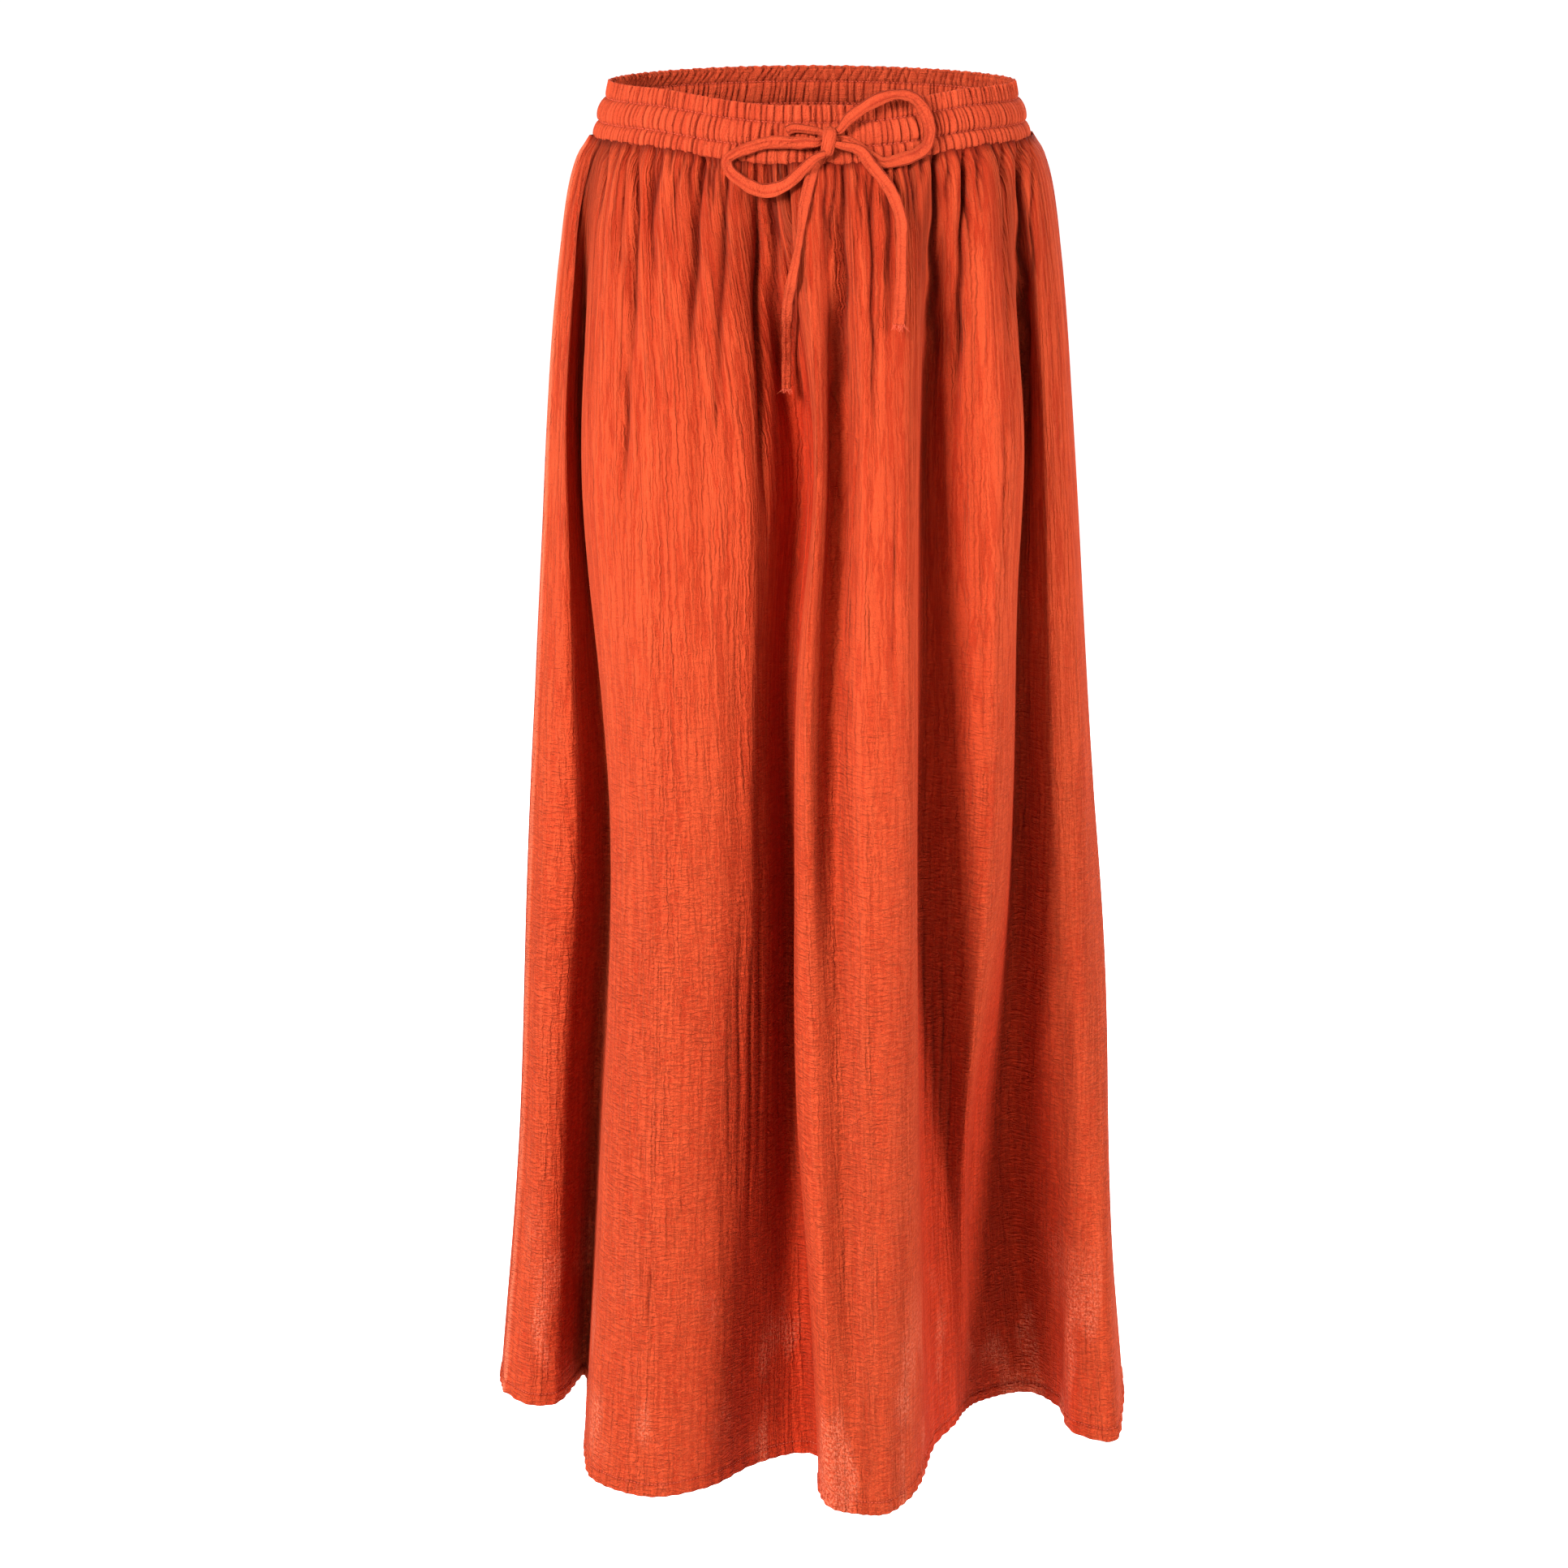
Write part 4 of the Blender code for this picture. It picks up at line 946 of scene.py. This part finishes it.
def gauze_material(name, light, deep, painted_pale_light, crinkle=1.0, gathers=True, stitch_and_shade_lines=False):
    """Crinkled double gauze: vertical crinkle, cross breaks, open weave and fuzz, with painted
    shade in its hollows, gathers and creases and painted light near the hem and on seam welts.
    """
    n = Nodes(name)
    wobble = n.times(n.minus(n.noise(80, 160, 1.0), 0.5), 0.0026)
    folds = n.noise(165, 10, 3.0, 0.55, 0.35, wobble)
    ridged = n.off_middle(folds, 4.0)
    lines = n.noise(430, 42, 2.0, 0.6, 0.5, wobble)
    breaks = n.noise(75, 330, 2.0, 0.6, 0.3)
    broken = n.off_middle(breaks, 4.0)
    fuzz = n.noise(1500, 1300, 2.0, 0.7)
    broad = n.noise(46, 5.5, 2.0, 0.5, 0.4)
    split = n.tree.nodes.new("ShaderNodeSeparateXYZ")
    n.feed(split.inputs[0], n.cloth_metres())
    across, down = split.outputs[0], split.outputs[1]
    warp = n.maths("SINE", n.times(across, 2 * math.pi / 0.00072))
    weft = n.maths("SINE", n.times(down, 2 * math.pi / 0.00080))
    weave = n.times(warp, weft)
    lower = n.ramp(down, 0.25, 0.60)
    if gathers:
        pulled = n.off_middle(n.noise(52, 5.0, 2.0, 0.5, 0.5), 5.0)
        upper = n.minus(1.0, n.ramp(down, 0.05, 0.34))
        pulled = n.times(n.minus(1.0, n.ramp(pulled, 0.0, 0.55)), upper)
    height = n.times(ridged, 0.60 * crinkle)
    height = n.plus(height, n.times(lines, 0.42 * crinkle))
    cross = n.times(broken, n.plus(n.times(lower, 0.42), 0.12))
    height = n.plus(height, cross)
    height = n.plus(height, n.times(fuzz, 0.26))
    height = n.plus(height, n.times(weave, 0.012))
    if gathers:
        height = n.minus(height, n.times(pulled, 0.55))
    # Painted shade in the crinkle's hollows, weaker in the lower half.
    hollow = n.minus(1.0, n.ramp(ridged, 0.0, 0.35))
    upright = n.minus(1.0, n.times(lower, 0.45))
    hollow = n.times(n.times(hollow, 0.62 * crinkle), upright)
    # Random tone in broad patches and in the fuzz adds to the painted shade.
    shade = n.plus(hollow, n.times(n.ramp(broad, 0.3, 0.7), 0.20))
    shade = n.plus(shade, n.times(n.ramp(fuzz, 0.35, 0.75), 0.22), True)
    # Painted shade in the troughs of the cross breaks, in the lower half.
    bars = n.times(n.minus(1.0, n.ramp(broken, 0.0, 0.24)), lower)
    shade = n.plus(shade, n.times(bars, 0.46), True)
    # Painted shade down the gathers below the waist.
    if gathers:
        shade = n.plus(shade, n.times(pulled, 0.55), True)
    # Dark lines down the string: its stitching, with painted shade along its turned edges and middle fold.
    if stitch_and_shade_lines:
        for place, strength in ((0.0004, 0.7), (0.0018, 1.0), (0.0050, 0.45), (0.0086, 0.7)):
            off = n.maths("ABSOLUTE", n.minus(across, place))
            line = n.minus(1.0, n.ramp(off, 0.0, 0.0006))
            shade = n.plus(shade, n.times(line, strength), True)
            height = n.minus(height, n.times(line, 0.25 * strength))
    colour = n.mix(shade, (*light, 1.0), (*deep, 1.0))
    # Painted shade in the mesh's creases, seams and pleat grooves, towards a darker, redder colour.
    creased = n.attribute("hollow")
    painted_crease_shade = (0.34 * deep[0], 0.24 * deep[1], 0.24 * deep[2])
    colour = n.mix(n.times(creased, 0.95, True), colour, (*painted_crease_shade, 1.0))
    if gathers:
        # Painted shade between the folds: the cloth there is darkened and reddened as if lit only by the
        # cloth round it.
        colour = n.mix(n.attribute("sheltered"), colour, (0.97, 0.58, 0.50, 1.0), "MULTIPLY")
        # A painted highlight along the side seams' welts, where the crease share is below nought.
        welt_highlight = n.times(creased, -0.7, True)
        colour = n.mix(welt_highlight, colour, (*painted_pale_light, 1.0))
        # Light through the thin gauze pales it in loose patches near the hem.
        thin = n.times(n.ramp(n.noise(23, 9, 2.0), 0.53, 0.70), n.ramp(down, 0.76, 0.90))
        threads = n.ramp(n.noise(520, 430, 3.0, 0.7), 0.44, 0.62)
        threads = n.plus(n.times(threads, 0.9), 0.1)
        share = n.times(n.times(thin, threads), 0.75)
        colour = n.mix(share, colour, (*painted_pale_light, 1.0))
    n.put("Base Color", colour)
    n.put("Roughness", n.plus(n.times(fuzz, 0.14), 0.82))
    n.bump(height, 0.0040)
    n.put("Specular IOR Level", 0.06)
    n.put("Sheen Weight", 0.06)
    n.put("Sheen Roughness", 0.45)
    n.put("Sheen Tint", (1.0, 0.32, 0.18, 1.0))
    return n.material


def thread_material(name, light, deep):
    """Twisted sewing thread: fine slanting ply marks over a slight change of colour."""
    n = Nodes(name)
    place = n.tree.nodes.new("ShaderNodeTexCoord")
    ply = n.tree.nodes.new("ShaderNodeTexWave")
    ply.bands_direction = "DIAGONAL"
    n.feed(ply.inputs["Vector"], place.outputs["Object"])
    ply.inputs["Scale"].default_value = 900.0
    ply.inputs["Distortion"].default_value = 1.2
    n.put("Base Color", n.mix(ply.outputs[1], (*light, 1.0), (*deep, 1.0)))
    n.put("Roughness", n.plus(n.times(ply.outputs[1], 0.15), 0.68))
    n.bump(ply.outputs[1], 0.0001)
    n.put("Specular IOR Level", 0.3)
    return n.material


def stage_material():
    """A plain white sweep that looks evenly lit."""
    n = Nodes("studio_white")
    light_path = n.tree.nodes.new("ShaderNodeLightPath")
    n.put("Base Color", (0.86, 0.86, 0.86, 1.0))
    n.put("Roughness", 1.0)
    n.put("Specular IOR Level", 0.0)
    n.put("Emission Color", (1.0, 1.0, 1.0, 1.0))
    n.put("Emission Strength", light_path.outputs[0])
    return n.material


# ---------------------------------------------------------------- settings


def count(name, description, default, least):
    return bpy.props.IntProperty(name=name, description=description, default=default, min=least)


def number(name, description, default, **kind):
    return bpy.props.FloatProperty(name=name, description=description, default=default, **kind)


def length(name, description, default):
    return number(name, description, default, unit="LENGTH")


def colour(name, description, *default):
    return bpy.props.FloatVectorProperty(
        name=name, description=description, subtype="COLOR", default=default
    )


class SKIRT_PG_cloth(bpy.types.PropertyGroup):
    """Sizes of the cloth's detail."""

    columns: count("Panel Columns", "Columns of cloth cells across one panel", 690, 60)
    rows: count("Panel Rows", "Rows of cloth cells down one panel", 124, 40)
    band_columns: count("Band Columns", "Columns of cloth cells round the waistband", 1400, 200)
    gather_share: number("Gather Depth", "How deep the gathers and creases are, against their table", 3.0)
    pleat_share: number("Pleat Depth", "How deep the waistband's pleats are", 1.0)
    crinkle: length("Crinkle Height", "Height of the gauze's loose crinkle", 0.0004)
    hem_turn: length("Hem Turn", "Depth of the turned-up hem", 0.0095)
    stitch_pitch: length("Stitch Pitch", "Distance between two stitches", 0.0026)
    string_thickness: length("String Thickness", "Thickness of the flat drawstring", 0.0018)


class SKIRT_PG_colours(bpy.types.PropertyGroup):
    """Colours of the cloth and thread, and of the painted shade and light on the cloth."""

    # Each Hollows colour is the dark end of its cloth's painted crinkle shade and random tone.
    panel_light: colour("Panel", "The gauze where it is full", 0.62, 0.073, 0.0225)
    panel_deep: colour("Panel Hollows", "The gauze in its crinkle", 0.42, 0.031, 0.0085)
    band_light: colour("Waistband", "The shirred gauze", 0.61, 0.075, 0.0260)
    band_deep: colour("Waistband Hollows", "The shirred gauze in its pleats", 0.40, 0.032, 0.0105)
    string_light: colour("Drawstring", "The string's gauze", 0.53, 0.063, 0.0215)
    string_deep: colour("Drawstring Hollows", "The string's gauze in its folds", 0.30, 0.024, 0.009)
    thread: colour("Thread", "Sewing thread", 0.78, 0.110, 0.052)
    # The pale colour of the painted light through thin gauze near the hem and of the painted highlight
    # along the seam welts.
    painted_pale_light: colour("Painted Light", "Painted light through thin gauze and on seam welts", 0.86, 0.20, 0.105)


class SKIRT_PG_stage(bpy.types.PropertyGroup):
    """The studio: camera, lights and floor."""

    camera_place: bpy.props.FloatVectorProperty(
        name="Camera Place", description="Where the camera stands", default=(-0.0192, -2.8, 0.26),
        subtype="TRANSLATION", unit="LENGTH",
    )
    camera_pitch: number(
        "Camera Pitch", "How far the camera looks down", math.radians(14.62),
        subtype="ANGLE", unit="ROTATION",
    )
    lens: number("Lens", "Focal length in millimetres", 92.5)
    floor_height: length("Floor Height", "Height of the studio floor", -1.30)
    key_power: number("Key Light", "Power of the large light at the front left", 212.0, unit="POWER")
    fill_power: number("Fill Light", "Power of the soft light at the right", 122.0, unit="POWER")
    surround: number("Surround", "Brightness of the white room on the cloth", 0.10)


# ---------------------------------------------------------------- operators


def add_area(name, place, aim, size, power):
    light = bpy.data.lights.new(name, "AREA")
    light.shape, light.size, light.size_y = "RECTANGLE", size[0], size[1]
    light.energy = power
    thing = add_object(name, light)
    thing.location = place
    way = [a - b for a, b in zip(aim, place)]
    flat = math.hypot(way[0], way[1])
    thing.rotation_euler = (math.atan2(flat, -way[2]), 0.0, math.atan2(way[1], way[0]) - math.pi / 2)


class SKIRT_OT_stage(bpy.types.Operator):
    """Set up the camera, the lights and a plain white floor"""

    bl_idname = "skirt.stage"
    bl_label = "Build Stage"

    def execute(self, context):
        scene, sizes = context.scene, context.scene.skirt_stage
        lens = bpy.data.cameras.new("studio_camera")
        lens.lens, lens.sensor_width, lens.clip_end = sizes.lens, 36.0, 200.0
        camera = add_object("studio_camera", lens)
        camera.location = sizes.camera_place
        camera.rotation_euler = (math.pi / 2 - sizes.camera_pitch, 0.0, 0.0)
        scene.camera = camera
        add_area("key_light", (-1.75, -2.45, 1.2), (0.0, 0.0, -0.42), (0.9, 1.3), sizes.key_power)
        add_area("fill_light", (2.7, -0.95, 0.5), (0.0, 0.0, -0.45), (1.0, 2.0), sizes.fill_power)
        add_area("side_light", (-2.9, -0.4, 0.5), (0.0, 0.0, -0.45), (1.0, 2.0), sizes.fill_power * 0.4)
        add_area("back_light", (0.6, 3.0, 0.9), (0.0, 0.0, -0.4), (2.2, 2.0), sizes.key_power * 0.62)
        world = bpy.data.worlds.new("white_room")
        world.use_nodes = True
        tree = world.node_tree
        background = tree.nodes["Background"]
        background.inputs[0].default_value = (1.0, 0.995, 0.985, 1.0)
        path = tree.nodes.new("ShaderNodeLightPath")
        seen = tree.nodes.new("ShaderNodeMapRange")
        seen.inputs[3].default_value, seen.inputs[4].default_value = sizes.surround, 1.0
        tree.links.new(path.outputs[0], seen.inputs[0])
        tree.links.new(seen.outputs[0], background.inputs[1])
        scene.world = world
        scene.view_settings.view_transform = "Standard"
        mesh = bpy.data.meshes.new("studio_floor")
        reach = 60.0
        corners = [(-reach, -reach, 0), (reach, -reach, 0), (reach, reach, 0), (-reach, reach, 0)]
        mesh.from_pydata(corners, [], [(0, 1, 2, 3)])
        mesh.materials.append(stage_material())
        floor = add_object("studio_floor", mesh)
        floor.location = (0.0, 0.0, sizes.floor_height)
        return {"FINISHED"}


class SKIRT_OT_drawstring(bpy.types.Operator):
    """Build the drawstring's two strands, their raw ends and the bow's wrap"""

    bl_idname = "skirt.drawstring"
    bl_label = "Build Drawstring"

    def execute(self, context):
        sizes, colours = context.scene.skirt_cloth, context.scene.skirt_colours
        look = (colours.string_light, colours.string_deep, colours.painted_pale_light)
        cloth = gauze_material("string_gauze", *look, 0.5, False, True)
        loose = thread_material("string_thread", colours.thread, colours.string_light)
        left = (*EXIT_STRAND, *LEFT_TURNS[0], *LEFT_LOOP, *LEFT_TURNS[1], *LEFT_TAIL)
        right = (*RIGHT_TURNS[0], *RIGHT_LOOP, *RIGHT_TURNS[1], *RIGHT_TAIL)
        wrap = build_knot(cloth)
        strands = (
            ("drawstring_left", left, 41, ("exit", "left_loop", "left_tail")),
            ("drawstring_right", right, 47, ("right_loop", "right_tail")),
        )
        for name, route, seed, parts in strands:
            nodes = ["drawstring_" + part for part in parts]
            made, centres, across, along, length = build_string(
                name, route, sizes.string_thickness, cloth, seed, nodes
            )
            end = (centres[-1], across[-1], along[-1], route[-1].width / 1000)
            threads = build_threads(name + "_threads", *end, loose, seed + 5)
        return {"FINISHED"}


class SKIRT_OT_waistband(bpy.types.Operator):
    """Build the shirred waistband and its two rows of stitching"""

    bl_idname = "skirt.waistband"
    bl_label = "Build Waistband"

    def execute(self, context):
        sizes, colours = context.scene.skirt_cloth, context.scene.skirt_colours
        look = (colours.band_light, colours.band_deep, colours.painted_pale_light)
        cloth = gauze_material("band_gauze", *look, 0.6, False)
        band, grid = build_waistband(sizes, cloth)
        thread = thread_material("band_thread", colours.thread, colours.band_deep)
        paths = []
        for row, side in STITCH_ROWS:
            way = side * unit(grid[row] * np.array([1.0, 1.6, 0.0]))
            paths.append((grid[row] + way * 0.00012, way, True))
        points, faces = stitch_mesh(paths, sizes.stitch_pitch, *BAND_STITCH, 61)
        stitches = cloth_object("waistband_stitches", points, faces, thread)
        return {"FINISHED"}


class SKIRT_OT_panels(bpy.types.Operator):
    """Build the front and back panels, gathered at the waist, with their hems"""

    bl_idname = "skirt.panels"
    bl_label = "Build Panels"

    def execute(self, context):
        sizes, colours = context.scene.skirt_cloth, context.scene.skirt_colours
        cloth = gauze_material("panel_gauze", colours.panel_light, colours.panel_deep, colours.painted_pale_light)
        thread = thread_material("hem_thread", colours.thread, colours.panel_deep)
        for name, first, last, seed in (
            ("front_panel", 0, RIGHT_SEAM, 101),
            ("back_panel", RIGHT_SEAM, LEFT_SEAM, 202),
        ):
            panel, grid, outward = build_panel(name, first, last, sizes, cloth, seed)
            drops = WAIST_TOP - grid[:, grid.shape[1] // 2, 2]
            line = read_row(HEM_DROP - sizes.hem_turn + HEM_STITCH, drops, grid)
            way = np.column_stack([outward[-2], np.zeros(len(line))])
            paths = [(line + way * 0.00010, way, False)]
            points, faces = stitch_mesh(paths, sizes.stitch_pitch, *HEM_THREAD, seed + 7)
            stitches = cloth_object(name.replace("panel", "hem_stitches"), points, faces, thread)
        return {"FINISHED"}


class SKIRT_PT_sidebar(bpy.types.Panel):
    """The skirt's settings and its build steps"""

    bl_idname = "SKIRT_PT_sidebar"
    bl_label = "Gathered Maxi Skirt"
    bl_space_type = "VIEW_3D"
    bl_region_type = "UI"
    bl_category = "Skirt"

    def draw(self, context):
        layout = self.layout
        for group in (context.scene.skirt_cloth, context.scene.skirt_colours, context.scene.skirt_stage):
            box = layout.box()
            for name in group.__annotations__:
                box.prop(group, name)
        for operator in BUILD_STEPS:
            layout.operator(operator.bl_idname)


BUILD_STEPS = (SKIRT_OT_stage, SKIRT_OT_drawstring, SKIRT_OT_waistband, SKIRT_OT_panels)
CLASSES = (SKIRT_PG_cloth, SKIRT_PG_colours, SKIRT_PG_stage, *BUILD_STEPS, SKIRT_PT_sidebar)


def register():
    for cls in CLASSES:
        bpy.utils.register_class(cls)
    bpy.types.Scene.skirt_cloth = bpy.props.PointerProperty(type=SKIRT_PG_cloth)
    bpy.types.Scene.skirt_colours = bpy.props.PointerProperty(type=SKIRT_PG_colours)
    bpy.types.Scene.skirt_stage = bpy.props.PointerProperty(type=SKIRT_PG_stage)


def unregister():
    del bpy.types.Scene.skirt_stage
    del bpy.types.Scene.skirt_colours
    del bpy.types.Scene.skirt_cloth
    for cls in reversed(CLASSES):
        bpy.utils.unregister_class(cls)


def main():
    register()
    bpy.ops.skirt.stage()
    bpy.ops.skirt.drawstring()
    bpy.ops.skirt.waistband()
    bpy.ops.skirt.panels()


if __name__ == "__main__":
    main()
